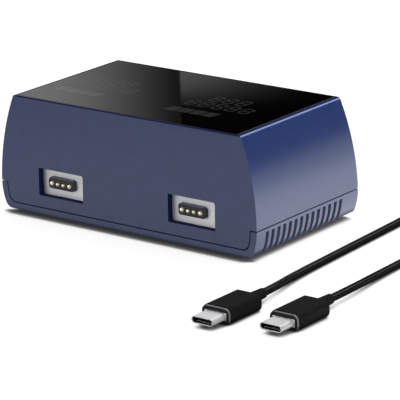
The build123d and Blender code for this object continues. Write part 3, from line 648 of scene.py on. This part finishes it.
# %% The coil
COIL_X, COIL_Y = 88.0, 56.0
STEP = 2.6  # from one turn to the next
INNER_TURN = 12.9
ACROSS = 3  # turns side by side, and on top of each other
STACK = [(2, 0), (1, 0), (0, 0), (0, 1), (0, 2), (1, 2), (1, 1), (2, 1), (2, 2)]
FIRST_SLANT = 160
SLANT_EVERY = 320
SLANT = 44
TURNING = 2700  # degrees, seven and a half turns
POINT_EVERY = 22.5
CORNER_CUT = cos(radians(POINT_EVERY / 2))  # a smooth line runs inside its points
TIE_AT = 90
TIE_LIFT = 0.55
TIE_FADES = 25  # degrees over which the cable comes down again beside the tie


def eased(x):
    """From 0 to 1, with a soft start and a soft end."""
    x = min(1.0, max(0.0, x))
    return x * x * (3 - 2 * x)


def place_in_stack(angle):
    """The radius and height of the cable after that many degrees of winding."""
    column, layer = STACK[0]
    for number, (new_column, new_layer) in enumerate(STACK[1:]):
        slant_middle = FIRST_SLANT + number * SLANT_EVERY
        share = eased((angle - slant_middle) / SLANT + 0.5)
        column += (new_column - STACK[number][0]) * share
        layer += (new_layer - STACK[number][1]) * share
    from_tie = abs((angle - TIE_AT + 180) % 360 - 180)
    lift = TIE_LIFT * eased(2 - from_tie / TIE_FADES)
    return INNER_TURN + column * STEP, STEP * (layer + 0.5) + lift


def coil_points():
    """Points round the coil, clockwise from its left side."""
    points = []
    for index in range(1, int(TURNING / POINT_EVERY)):
        angle = index * POINT_EVERY
        radius, height = place_in_stack(angle)
        bearing = radians(180 - angle)
        x = COIL_X + radius * cos(bearing) / CORNER_CUT
        y = COIL_Y + radius * sin(bearing) / CORNER_CUT
        points.append((x, y, height))
    return points


lead_route = RUN_A + coil_points() + RUN_B[::-1]
print("the lead has", len(lead_route), "control points")

# %% Lead as one smooth curve
lead_curve = bpy.data.curves.new("lead", "CURVE")
lead_curve.dimensions = "3D"
lead_curve.bevel_depth = CABLE / 2
lead_curve.bevel_resolution = 4
lead_curve.resolution_u = 4
lead_curve.use_fill_caps = True
lead_curve.materials.append(plastics["cable_black"])
lead_line = lead_curve.splines.new("NURBS")
lead_line.points.add(len(lead_route) - 1)
for point, where in zip(lead_line.points, lead_route):
    point.co = [v * MM for v in where] + [1.0]
lead_line.order_u = 3
lead_line.use_endpoint_u = True
lead = bpy.data.objects.new("lead", lead_curve)
bpy.context.collection.objects.link(lead)
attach(lead, "charger")
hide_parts("lead_run_a", "lead_run_b", "lead_coil")
lead.visible_glossy = False  # else the coil shows as a dark blot in the lacquer
print("lead drawn")


# %% [markdown]
# ## Pieces made from rings
#
# What the CAD leaves out is made here: marks, springs, screws, contact strips
# and a tie. Each could start from a ready-made shape that modifiers bend and
# cut. Rings of points are simpler: one ring is joined to the next by a band
# of faces, so every point has the place that the real size gives it.

# %% Piece helpers
def band(bm, rings, closed=False):
    """Faces between rings of equally many points.

    With closed, the last ring meets the first. Else the first and the last are filled.
    """
    rows = [[bm.verts.new(Vector(point) * MM) for point in ring] for ring in rings]
    for low, high in zip(rows, rows[1:] + rows[:1] if closed else rows[1:]):
        count = len(low)
        for index in range(count):
            after = (index + 1) % count
            bm.faces.new((low[index], low[after], high[after], high[index]))
    if not closed:
        bm.faces.new(rows[0])
        bm.faces.new(rows[-1])


def new_piece(name, bm, slot, material=None, smooth=False):
    """A piece that rides on the charger, in its slot's finish if no other is given."""
    bmesh.ops.recalc_face_normals(bm, faces=bm.faces)
    mesh = bpy.data.meshes.new(name)
    bm.to_mesh(mesh)
    bm.free()
    if smooth:
        mesh.shade_smooth()
        mesh.set_sharp_from_angle(angle=radians(35))
    mesh.update()
    piece = bpy.data.objects.new(name, mesh)
    bpy.context.collection.objects.link(piece)
    piece.data.materials.append(material or FINISHES[slot])
    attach(piece, "charger")
    return piece


print("piece helpers ready")


# %% [markdown]
# ## The displays' marks
#
# Under the glass each channel has a readout: a row of three digits, a row of
# five, and a bar of four blocks. Switched off, they are just a little paler
# than the glass. They could be drawn by shader, but thin raised shapes keep
# their outline in every export. Every digit is the seven bars of an eight.

# %% Flat shapes on the glass
MARK_TOP = 42.215  # the glass ends at 42.2
MARK_LOW = 42.17
LEAN_OF_DIGITS = 0.10  # sideways per unit of height
DIGIT_LONG, DIGIT_WIDE, DIGIT_PITCH = 5.4, 3.4, 5.6
BAR_THICK, BAR_GAP = 0.75, 0.12
BLOCKS = 4
BLOCK_FILLS = 0.86  # of its share of the level bar
BLOCK_LEAN = 0.25


def prism(bm, outline):
    """A flat prism on the glass from an outline of 2-D points."""
    band(bm, [[(p[0], p[1], z) for p in outline] for z in (MARK_LOW, MARK_TOP)])


def bar(bm, start, end):
    """One bar of a digit: a flat prism with pointed ends."""
    direction = (end - start).normalized()
    start, end = start + direction * BAR_GAP, end - direction * BAR_GAP
    side = Vector((-direction.y, direction.x)) * BAR_THICK / 2
    tip = direction * BAR_THICK / 2
    prism(bm, [start, start + tip + side, end - tip + side, end, end - tip - side, start + tip - side])


def digit(bm, x, y):
    """The seven bars of an eight, with its lower left corner at x, y."""
    half = DIGIT_LONG / 2
    corners = {}
    for row in range(3):
        for column in range(2):
            leaning = LEAN_OF_DIGITS * row * half
            corners[column, row] = Vector((x + column * DIGIT_WIDE + leaning, y + row * half))
    pairs = [((0, row), (1, row)) for row in range(3)]
    pairs += [((column, row), (column, row + 1)) for column in range(2) for row in range(2)]
    for first, second in pairs:
        bar(bm, corners[first], corners[second])


def level_bar(bm, x, y, length, wide):
    """Slanted blocks in a row."""
    block = length / BLOCKS
    lean = wide * BLOCK_LEAN
    for number in range(BLOCKS):
        left = x + number * block
        right = left + block * BLOCK_FILLS
        prism(bm, [(left, y), (right, y), (right + lean, y + wide), (left + lean, y + wide)])


print("one digit takes", DIGIT_PITCH, "mm")

# %% Digits and level bars
DISPLAYS = {"left": (-42.2, -15.2), "right": (7.0, -15.2)}
ROWS = [(1.5, 9.0, 5), (6.2, 16.3, 3)]  # from the display's corner, and how many digits
BAR_LONG, BAR_WIDE = 20.4, 4.6
for side, (corner_x, corner_y) in DISPLAYS.items():
    bm = bmesh.new()
    for x, y, count in ROWS:
        for number in range(count):
            digit(bm, corner_x + x + number * DIGIT_PITCH, corner_y + y)
    level_bar(bm, corner_x, corner_y, BAR_LONG, BAR_WIDE)
    marks = new_piece(f"display_marks_{side}", bm, "glass_black", display_mark)
    print(marks.name, len(marks.data.polygons), "faces")


# %% [markdown]
# ## Springs behind the contacts
#
# Each contact stands on a coil spring in its barrel. The CAD springs are one
# rigid part for a port, which a pressed contact would run through. Here each
# spring is a piece of its own: a round wire carried along a helix whose end
# turns lie flat.

# %% Contact springs
WIRE = 0.11  # radius of the wire
WIRE_SIDES = 8
SPRING_TURNS = 5
STEPS_IN_TURN = 16
FLAT_END = 0.8  # turns at each end that don't climb
SPRING_INSET = 0.37  # from the rim of a contact's collar to the middle of the wire


def spring_rings(x, z, radius, front, rear):
    """Rings of points round the wire, from the contact to the floor of the barrel."""
    rings = []
    for step in range(SPRING_TURNS * STEPS_IN_TURN + 1):
        turn = step / STEPS_IN_TURN
        climbed = min(1.0, max(0.0, (turn - FLAT_END) / (SPRING_TURNS - 2 * FLAT_END)))
        y = front + WIRE + (rear - front - 2 * WIRE) * climbed
        angle = 2 * pi * turn
        ring = []
        for corner in range(WIRE_SIDES):
            about = 2 * pi * corner / WIRE_SIDES
            reach = radius + WIRE * cos(about)
            ring.append((x + reach * cos(angle), y + WIRE * sin(about), z + reach * sin(angle)))
        rings.append(ring)
    return rings


for side in ("left", "right"):
    springs_low, springs_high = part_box(f"contact_springs_{side}")
    front, rear = springs_low[1] / MM, springs_high[1] / MM
    for number in range(1, 5):
        pin_low, pin_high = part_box(f"{side}_pin_{number}")
        x, z = [(pin_low[axis] + pin_high[axis]) / 2 / MM for axis in (0, 2)]
        radius = (pin_high[0] - pin_low[0]) / 2 / MM - SPRING_INSET
        name = f"{side}_spring_{number}"
        bm = bmesh.new()
        band(bm, spring_rings(x, z, radius, front, rear))
        spring = new_piece(name, bm, "steel_plain", smooth=True)
        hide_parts(f"contact_springs_{side}")
        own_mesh(spring)


# %% [markdown]
# ## Screws
#
# Four screws hold the shells together from below, and three hold the main
# board. A screw is a lathe form except for the cross in its head, and a
# boolean would cut that cross into the lathe. Drawing each ring at angles
# that suit both the round rim and the cross does it without cutting.

# %% Cross-head screws
CROSS_ARM = 1.25  # half the length of the cross, in a head of this radius
CROSS_HEAD = 2.3
CROSS_HALF_WIDTH = 0.33
arm_corner = atan2(CROSS_HALF_WIDTH, CROSS_ARM)
QUARTER = [0.0, arm_corner, pi / 6, pi / 4, pi / 3, pi / 2 - arm_corner]
RING_ANGLES = [quarter * pi / 2 + angle for quarter in range(4) for angle in QUARTER]
CROSS = [(0.35, 0.75), (1.0, 0.45), (1.0, 0.0)]  # its size and how far up the head, as shares
HEAD = [(0.86, 0.0), (1.0, 0.3), (1.0, 1.0)]  # its radius and how far up, as shares
POINT = [(0.7, 0.6), (0.15, 0.0)]  # its radius and length to go, as shares of the shank's radius
THREAD = [(0.78, 0.3), (1.0, 0.75)]  # root and crest: share of the radius, and where in a pitch
THREAD_PITCH = 0.9


def round_ring(radius, z):
    """Points on a circle, at the angles that every ring has."""
    return [(radius * cos(a), radius * sin(a), z) for a in RING_ANGLES]


def cross_ring(size, z):
    """The outline of the cross, met by a ray at each angle."""
    ring = []
    for angle in RING_ANGLES:
        larger, smaller = sorted((abs(cos(angle)), abs(sin(angle))), reverse=True)
        reach = CROSS_ARM / larger
        if smaller > 1e-6:
            reach = min(reach, CROSS_HALF_WIDTH / smaller)
        ring.append((size * reach * cos(angle), size * reach * sin(angle), z))
    return ring


def screw(bm, x, y, z, head, head_tall, shank, length):
    """A screw whose head looks down at height z and whose shank points up."""
    size = head / CROSS_HEAD
    under_head = z + head_tall
    rings = [cross_ring(size * share, z + head_tall * height) for share, height in CROSS]
    rings += [round_ring(head * share, z + head_tall * height) for share, height in HEAD]
    rings.append(round_ring(shank, under_head))
    for turn in range(int((length - head_tall - shank) / THREAD_PITCH)):
        for share, height in THREAD:
            rings.append(round_ring(shank * share, under_head + height + turn * THREAD_PITCH))
    rings += [round_ring(shank * share, z + length - shank * left) for share, left in POINT]
    band(bm, [[(x + px, y + py, pz) for px, py, pz in ring] for ring in rings])


SCREWS = {
    "case_screws": {
        "spots": [(x, y) for x in (-45.6, 45.6) for y in (-20.4, 20.4)],
        "size": {"z": 1.7, "head": 2.3, "head_tall": 1.6, "shank": 1.25, "length": 11.6},
    },
    "board_screws": {
        "spots": [(-34.0, 20.6), (34.0, 20.6), (0.0, -14.6)],
        "size": {"z": 14.7, "head": 1.9, "head_tall": 1.3, "shank": 0.95, "length": 6.3},
    },
}
for name, screws in SCREWS.items():
    bm = bmesh.new()
    for x, y in screws["spots"]:
        screw(bm, x, y, **screws["size"])
    piece = new_piece(name, bm, "steel_plain", smooth=True)
    print(name, len(piece.data.polygons), "faces")


# %% [markdown]
# ## Inside the plugs and the inlet
#
# A plug's steel shell is lined with black plastic, with two rows of contact
# springs in it. The inlet's tongue carries the matching pads. Both are rows
# of small strips at the connector's half-millimetre pitch.

# %% Plug linings and contact strips
CONTACTS, CONTACT_PITCH = 12, 0.5
STRIP_HALF = 0.13
STRIP_TAPER = 0.25  # length of the chamfered front end
TAPER_SHARE = 0.4  # of the strip's height, taken off above and below
# Length, height and depth behind the plug's tip of each ring
LINING = [(7.55, 1.70, 0.25), (7.00, 1.15, 0.25), (6.90, 1.05, 5.30), (7.55, 1.70, 5.50)]
PLUG_STRIP = (0.9, 4.6)  # from and to, behind the tip
PLUG_STRIP_Z = (0.42, 0.60)  # on either side of the plug's middle


def obround(length, tall, x, y, z, corners=24):
    """The outline of a flat oval across the plug's axis."""
    radius = tall / 2
    reach = length / 2 - radius
    ring = []
    for step in range(corners):
        angle = 2 * pi * (step + 0.5) / corners
        side = reach if cos(angle) > 0 else -reach
        ring.append((x + side + radius * cos(angle), y, z + radius * sin(angle)))
    return ring


def strip(bm, x, y_start, y_end, z_low, z_high):
    """A thin contact strip along the plug's axis, with a chamfered front end."""
    taper = (z_high - z_low) * TAPER_SHARE
    left, right = x - STRIP_HALF, x + STRIP_HALF
    rings = []
    for y, shrink in ((y_start, taper), (y_start + STRIP_TAPER, 0.0), (y_end, 0.0)):
        low, high = z_low + shrink, z_high - shrink
        rings.append([(left, y, low), (right, y, low), (right, y, high), (left, y, high)])
    band(bm, rings)


def contact_rows(x, z, near_z, far_z, y_start, y_end):
    """Two rows of strips, one on either side of height z."""
    bm = bmesh.new()
    for number in range(CONTACTS):
        contact_x = x + (number - (CONTACTS - 1) / 2) * CONTACT_PITCH
        strip(bm, contact_x, y_start, y_end, z - far_z, z - near_z)
        strip(bm, contact_x, y_start, y_end, z + near_z, z + far_z)
    return bm


for end, (x, tip, z) in PLUGS.items():
    bm = bmesh.new()
    band(bm, [obround(long, tall, x, tip + deep, z) for long, tall, deep in LINING], closed=True)
    lining = new_piece(f"plug_{end}_lining", bm, "plug_black")
    bm = contact_rows(x, z, *PLUG_STRIP_Z, *[tip + deep for deep in PLUG_STRIP])
    springs = new_piece(f"plug_{end}_contacts", bm, "contact_gold")
    print(lining.name, springs.name)

# %% Pads on the inlet's tongue
PAD = (3.6, 0.5)  # from and to, inside the tongue's mouth
PAD_Z = (0.33, 0.40)
tongue_low, tongue_high = [Vector(corner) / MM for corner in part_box("inlet_tongue")]
tongue_z = (tongue_low.z + tongue_high.z) / 2
bm = contact_rows(0.0, tongue_z, *PAD_Z, *[tongue_high.y - deep for deep in PAD])
pads = new_piece("inlet_pads", bm, "contact_gold")
print(pads.name, "at z", round(tongue_z, 2), "mm, tongue ends at y", round(tongue_high.y, 2))


# %% [markdown]
# ## The tie round the coil
#
# A strap of hook-and-loop tape holds the wound-up lead. It is a flat band, so
# it is modelled as one: a section that goes round the bundle of turns,
# repeated at a few angles of the coil so that the band follows its curve. A
# second layer on top is the overlap where the tape closes on itself.

# %% Hook-and-loop strap
STRAP_THICK, STRAP_WIDTH = 0.5, 8.0
LAYER_GAP = 0.03
CLEAR = 0.05  # between the cable and the strap
BUNDLE_IN = INNER_TURN - CABLE / MM / 2 - CLEAR
BUNDLE_OUT = INNER_TURN + (ACROSS - 1) * STEP + CABLE / MM / 2 + CLEAR
BUNDLE_LOW = TIE_LIFT
BUNDLE_HIGH = TIE_LIFT + ACROSS * STEP + CLEAR
CORNER = 1.1
CORNER_POINTS = 5
FLAP = range(11, 18)  # points of the loop that the overlap covers, on top of the bundle
BEARINGS = 9


def loop_path(grow):
    """A rounded rectangle round the bundle, as radius and height, grown outward."""
    radius = CORNER + grow
    path = []
    corners = [
        (BUNDLE_IN + CORNER, BUNDLE_LOW + CORNER, 180),
        (BUNDLE_OUT - CORNER, BUNDLE_LOW + CORNER, 270),
        (BUNDLE_OUT - CORNER, BUNDLE_HIGH - CORNER, 0),
        (BUNDLE_IN + CORNER, BUNDLE_HIGH - CORNER, 90),
    ]
    for middle_r, middle_z, first in corners:
        for step in range(CORNER_POINTS):
            angle = radians(first + 90 / (CORNER_POINTS - 1) * step)
            path.append((middle_r + radius * cos(angle), middle_z + radius * sin(angle)))
    return path


def on_coil(r, z, bearing):
    """A point at a radius and height of the coil."""
    return (COIL_X + r * cos(bearing), COIL_Y + r * sin(bearing), z)


def strap():
    """The band and its overlap, both closed."""
    bm = bmesh.new()
    middle = radians(180 - TIE_AT)
    spread = STRAP_WIDTH / (INNER_TURN + STEP) / 2
    bearings = [middle + spread * (2 * step / (BEARINGS - 1) - 1) for step in range(BEARINGS)]
    rings = [[on_coil(*point, bearing) for point in loop_path(STRAP_THICK)] for bearing in bearings]
    rings += [[on_coil(*point, bearing) for point in loop_path(0.0)] for bearing in reversed(bearings)]
    band(bm, rings, closed=True)
    flap_low, flap_high = loop_path(STRAP_THICK + LAYER_GAP), loop_path(2 * STRAP_THICK)
    rings = []
    for bearing in bearings[1:-1]:
        ring = [on_coil(*flap_high[i], bearing) for i in FLAP]
        ring += [on_coil(*flap_low[i], bearing) for i in reversed(FLAP)]
        rings.append(ring)
    band(bm, rings)
    return bm


coil_tie = new_piece("coil_tie", strap(), "plug_black", plastics["strap_black"], smooth=True)
coil_tie.visible_glossy = False
print("coil tie:", len(coil_tie.data.polygons), "faces")

# %% The pieces that ride on the lead, and its length
PLUG_NODES = [f"plug_{end}_{part}" for end in "ab" for part in ("shell", "body", "relief")]
on_lead = [frame["nodes"][name] for name in PLUG_NODES] + [coil_tie]
on_lead += [bpy.data.objects[f"plug_{end}_{part}"] for end in "ab" for part in ("lining", "contacts")]
print("lead length, m:", round(lead_line.calc_length(), 3))


# %% [markdown]
# ## The floor
#
# A pale floor far larger than the charger. To the camera it is a plain white
# that goes dark where something stands close over it, which an Ambient
# Occlusion node measures, mixed with a surface that takes the lamp's shadows.
# In front of the charger that contact shadow is kept narrow. For diffuse
# light the floor is a plain grey, so it doesn't flood the charger from below.
# What mirrors see of it is brightest at the right and rear, as if the lamps
# stood there, and dark close beside the mirroring surface, where the object
# keeps the light out. The length of the ray tells how close that is.

# %% Floor
FLOOR_HALF = 4.0
floor_corners = [(x * FLOOR_HALF, y * FLOOR_HALF, 0) for x, y in ((-1, -1), (1, -1), (1, 1), (-1, 1))]
floor_mesh = bpy.data.meshes.new("floor")
floor_mesh.from_pydata(floor_corners, [], [(0, 1, 2, 3)])
floor = bpy.data.objects.new("floor", floor_mesh)
bpy.context.collection.objects.link(floor)

floor_white = bpy.data.materials.new("floor white")
floor_white.use_nodes = True
floor.data.materials.append(floor_white)
tree = floor_white.node_tree
tree.nodes.clear()
print("floor:", 2 * FLOOR_HALF, "m wide")


# %% What the camera sees of the floor
def grey(tree, shade):
    """A plain matt surface."""
    return add(tree, "BsdfDiffuse", {"Color": (shade, shade, shade, 1)}).outputs[0]


def glowing(tree, strength):
    """A surface that gives its own white light."""
    return add(tree, "Emission", {"Color": (1, 1, 1, 1), "Strength": strength}).outputs[0]


def mix_shaders(tree, share, first, second):
    """Two shaders mixed by a share from 0 to 1."""
    return add(tree, "MixShader", {0: share, 1: first, 2: second}).outputs[0]


WHITE, GREY = 0.96, 0.45
CONTACT_REACH = 4.0 * MM
DARK_AT, WHITE_AT = (0.24, 0.70), (0.70, 0.92)  # how open the floor is: beside, and in front
CONTACT_LIGHT = (0.03, 1.15)
FRONT_Y = (-26 * MM, -28 * MM)
FRONT_X = (57 * MM, 48 * MM)  # where the front gives way to the right side
GLOW_SHARE = 0.72

spot = split(tree, place(tree))
in_front = product(tree, between(tree, spot["Y"], *FRONT_Y), between(tree, spot["X"], *FRONT_X))
openness = add(tree, "AmbientOcclusion", {"Distance": CONTACT_REACH}, samples=16).outputs["AO"]
darkest, whitest = [blend(tree, in_front, *mark) for mark in (DARK_AT, WHITE_AT)]
contact = between(tree, openness, darkest, whitest, *CONTACT_LIGHT)
shown = grey(tree, WHITE)
seen = mix_shaders(tree, GLOW_SHARE, shown, glowing(tree, contact))
print("floor seen by the camera:", len(tree.nodes), "nodes")

# %% What mirrors see of the floor
TO_THE_LIGHT = (0.8, 0.6, 0.0)  # towards the right and rear, where the studio is lit
ACROSS_FLOOR = (0.005, 0.065, 0.43, 1.32)  # from and to, in metres that way, and the light there
OUTWARD = (0.08, 0.40, 1.0, 0.45)  # the same, in metres from the charger
CLOSE_BY = (3 * MM, 8 * MM, 0.06, 1.0)  # the same, by the length of the ray
MIRROR_GLOW_SHARE = 0.95

ray = add(tree, "LightPath").outputs
distance = add(tree, "VectorMath", {0: place(tree)}, operation="LENGTH").outputs["Value"]
mirrored = product(
    tree,
    between(tree, along(tree, place(tree), TO_THE_LIGHT), *ACROSS_FLOOR),
    between(tree, distance, *OUTWARD),
    between(tree, ray["Ray Length"], *CLOSE_BY),
)
in_mirror = mix_shaders(tree, MIRROR_GLOW_SHARE, shown, glowing(tree, mirrored))
straight = calc(tree, "MAXIMUM", ray["Is Camera Ray"], ray["Is Transmission Ray"])
first = mix_shaders(tree, straight, grey(tree, GREY), seen)
add(tree, "OutputMaterial", {"Surface": mix_shaders(tree, ray["Is Glossy Ray"], first, in_mirror)})
print("floor:", len(tree.nodes), "nodes")


# %% [markdown]
# ## The studio
#
# The world is the studio's walls. To the camera it is plain white. Diffuse
# light comes from a soft grey dome that is brightest at the back on the
# right. What mirrors see is drawn by direction: a grey softbox behind on the
# left, with a sharp right border that shows in the black glass, a faint haze
# low behind that fades out to the right, a bright strip above it that catches
# the rounded top edges, and a dim room for all that lies to the right, in
# front or overhead, with a lamp that gives the contacts their spark.

# %% Directions in the world
world = bpy.data.worlds.new("studio")
world.use_nodes = True
bpy.context.scene.world = world
tree = world.node_tree
tree.nodes.clear()
direction = add(tree, "TexCoord").outputs["Generated"]
aim = split(tree, direction)
DEGREES = 180 / pi
bearing = product(tree, calc(tree, "ARCTAN2", aim["Y"], aim["X"]), DEGREES)  # 0 along X, 90 along Y
rise = product(tree, calc(tree, "ARCSINE", aim["Z"]), DEGREES)  # above the horizon
print("bearing and rise are in degrees")


# %% What mirrors see behind the charger
def lobe(tree, towards, inner, outer):
    """1 within the inner angle of a direction, 0 past the outer angle."""
    reach = along(tree, direction, Vector(towards).normalized())
    return between(tree, reach, cos(radians(outer)), cos(radians(inner)))


BORDER = 128.59  # bearing of the softbox's right border
BOX_TOP = 34.0
BOX_LIGHT = (BORDER - 0.36, BORDER + 3.44, 0.009, 0.62)  # from and to bearing, and the light there
HAZE_ACROSS, HAZE_FALL = (124.8, 129.8), 1.5
HAZE_LIGHT = (15.35, 14.55, 0.004, 0.36)  # from and to rise, and the light there
HAZE_FLOOR = 12.0
HORIZON_LIGHT = (3.5, -1.0, 0.0, 0.35)
STRIP_ACROSS = [(50.0, 57.0), (100.0, 86.0)]  # where its ends fade, as bearings
STRIP_UP = [(22.0, 28.0), (50.0, 43.0)]
STRIP_LIGHT = 1.9

softbox = between(tree, bearing, *BOX_LIGHT)
left = calc(tree, "GREATER_THAN", bearing, BORDER)
in_softbox = product(tree, left, calc(tree, "LESS_THAN", rise, BOX_TOP))
haze = product(
    tree,
    calc(tree, "POWER", between(tree, bearing, *HAZE_ACROSS), HAZE_FALL),
    between(tree, rise, *HAZE_LIGHT),
    calc(tree, "GREATER_THAN", rise, HAZE_FLOOR),
)
strip_light = product(
    tree,
    *[between(tree, bearing, *fade) for fade in STRIP_ACROSS],
    *[between(tree, rise, *fade) for fade in STRIP_UP],
    STRIP_LIGHT,
)
behind = calc(tree, "ADD", haze, between(tree, rise, *HORIZON_LIGHT))
behind = calc(tree, "ADD", behind, strip_light)
print("behind:", len(tree.nodes), "nodes")

# %% What mirrors see of the room, and all of it together
REAR_BEARING, REAR_RISE = (10.0, 30.0), (62.0, 50.0)  # where the room gives way to what is behind
LAMP_TOWARDS, LAMP_ANGLES, LAMP_LIGHT = (-0.35, -0.85, 0.30), (22, 32), 1.8
SHADE_TOWARDS, SHADE_ANGLES = (-0.59, -0.295, 0.75), (22, 36)  # a dark patch high on the left
ROOM_LIGHT = 0.50

at_rear = product(tree, between(tree, bearing, *REAR_BEARING), between(tree, rise, *REAR_RISE))
lamp = product(tree, lobe(tree, LAMP_TOWARDS, *LAMP_ANGLES), LAMP_LIGHT)
lit = calc(tree, "SUBTRACT", 1.0, lobe(tree, SHADE_TOWARDS, *SHADE_ANGLES))
room = calc(tree, "ADD", product(tree, lit, ROOM_LIGHT), lamp)
mirror_view = blend(tree, in_softbox, blend(tree, at_rear, room, behind), softbox)
print("studio drawn by direction")

# %% World shader
DOME_LIGHT = (-0.85, 1.0, 0.06, 1.60)  # from and to, by how much a direction points to the light
dome = between(tree, along(tree, direction, TO_THE_LIGHT), *DOME_LIGHT)
ray = add(tree, "LightPath").outputs
straight = calc(tree, "MAXIMUM", ray["Is Camera Ray"], ray["Is Transmission Ray"])
strength = blend(tree, straight, blend(tree, ray["Is Glossy Ray"], dome, mirror_view), 1.0)
background = add(tree, "Background", {"Color": (1, 1, 1, 1), "Strength": strength})
add(tree, "OutputWorld", {"Surface": background.outputs[0]})
print("studio:", len(tree.nodes), "nodes")

# %% Key lamp
KEY_FROM = Vector((-0.30, 0.25, 1.05))
key_light = bpy.data.lights.new("key", "AREA")
key_light.shape = "SQUARE"
key_light.size = 0.9
key_light.energy = 5.5
key = bpy.data.objects.new("key", key_light)
key.location = KEY_FROM
key.rotation_euler = (-KEY_FROM).to_track_quat("-Z", "Y").to_euler()
bpy.context.collection.objects.link(key)
print("key lamp at", [round(v, 2) for v in key.location])
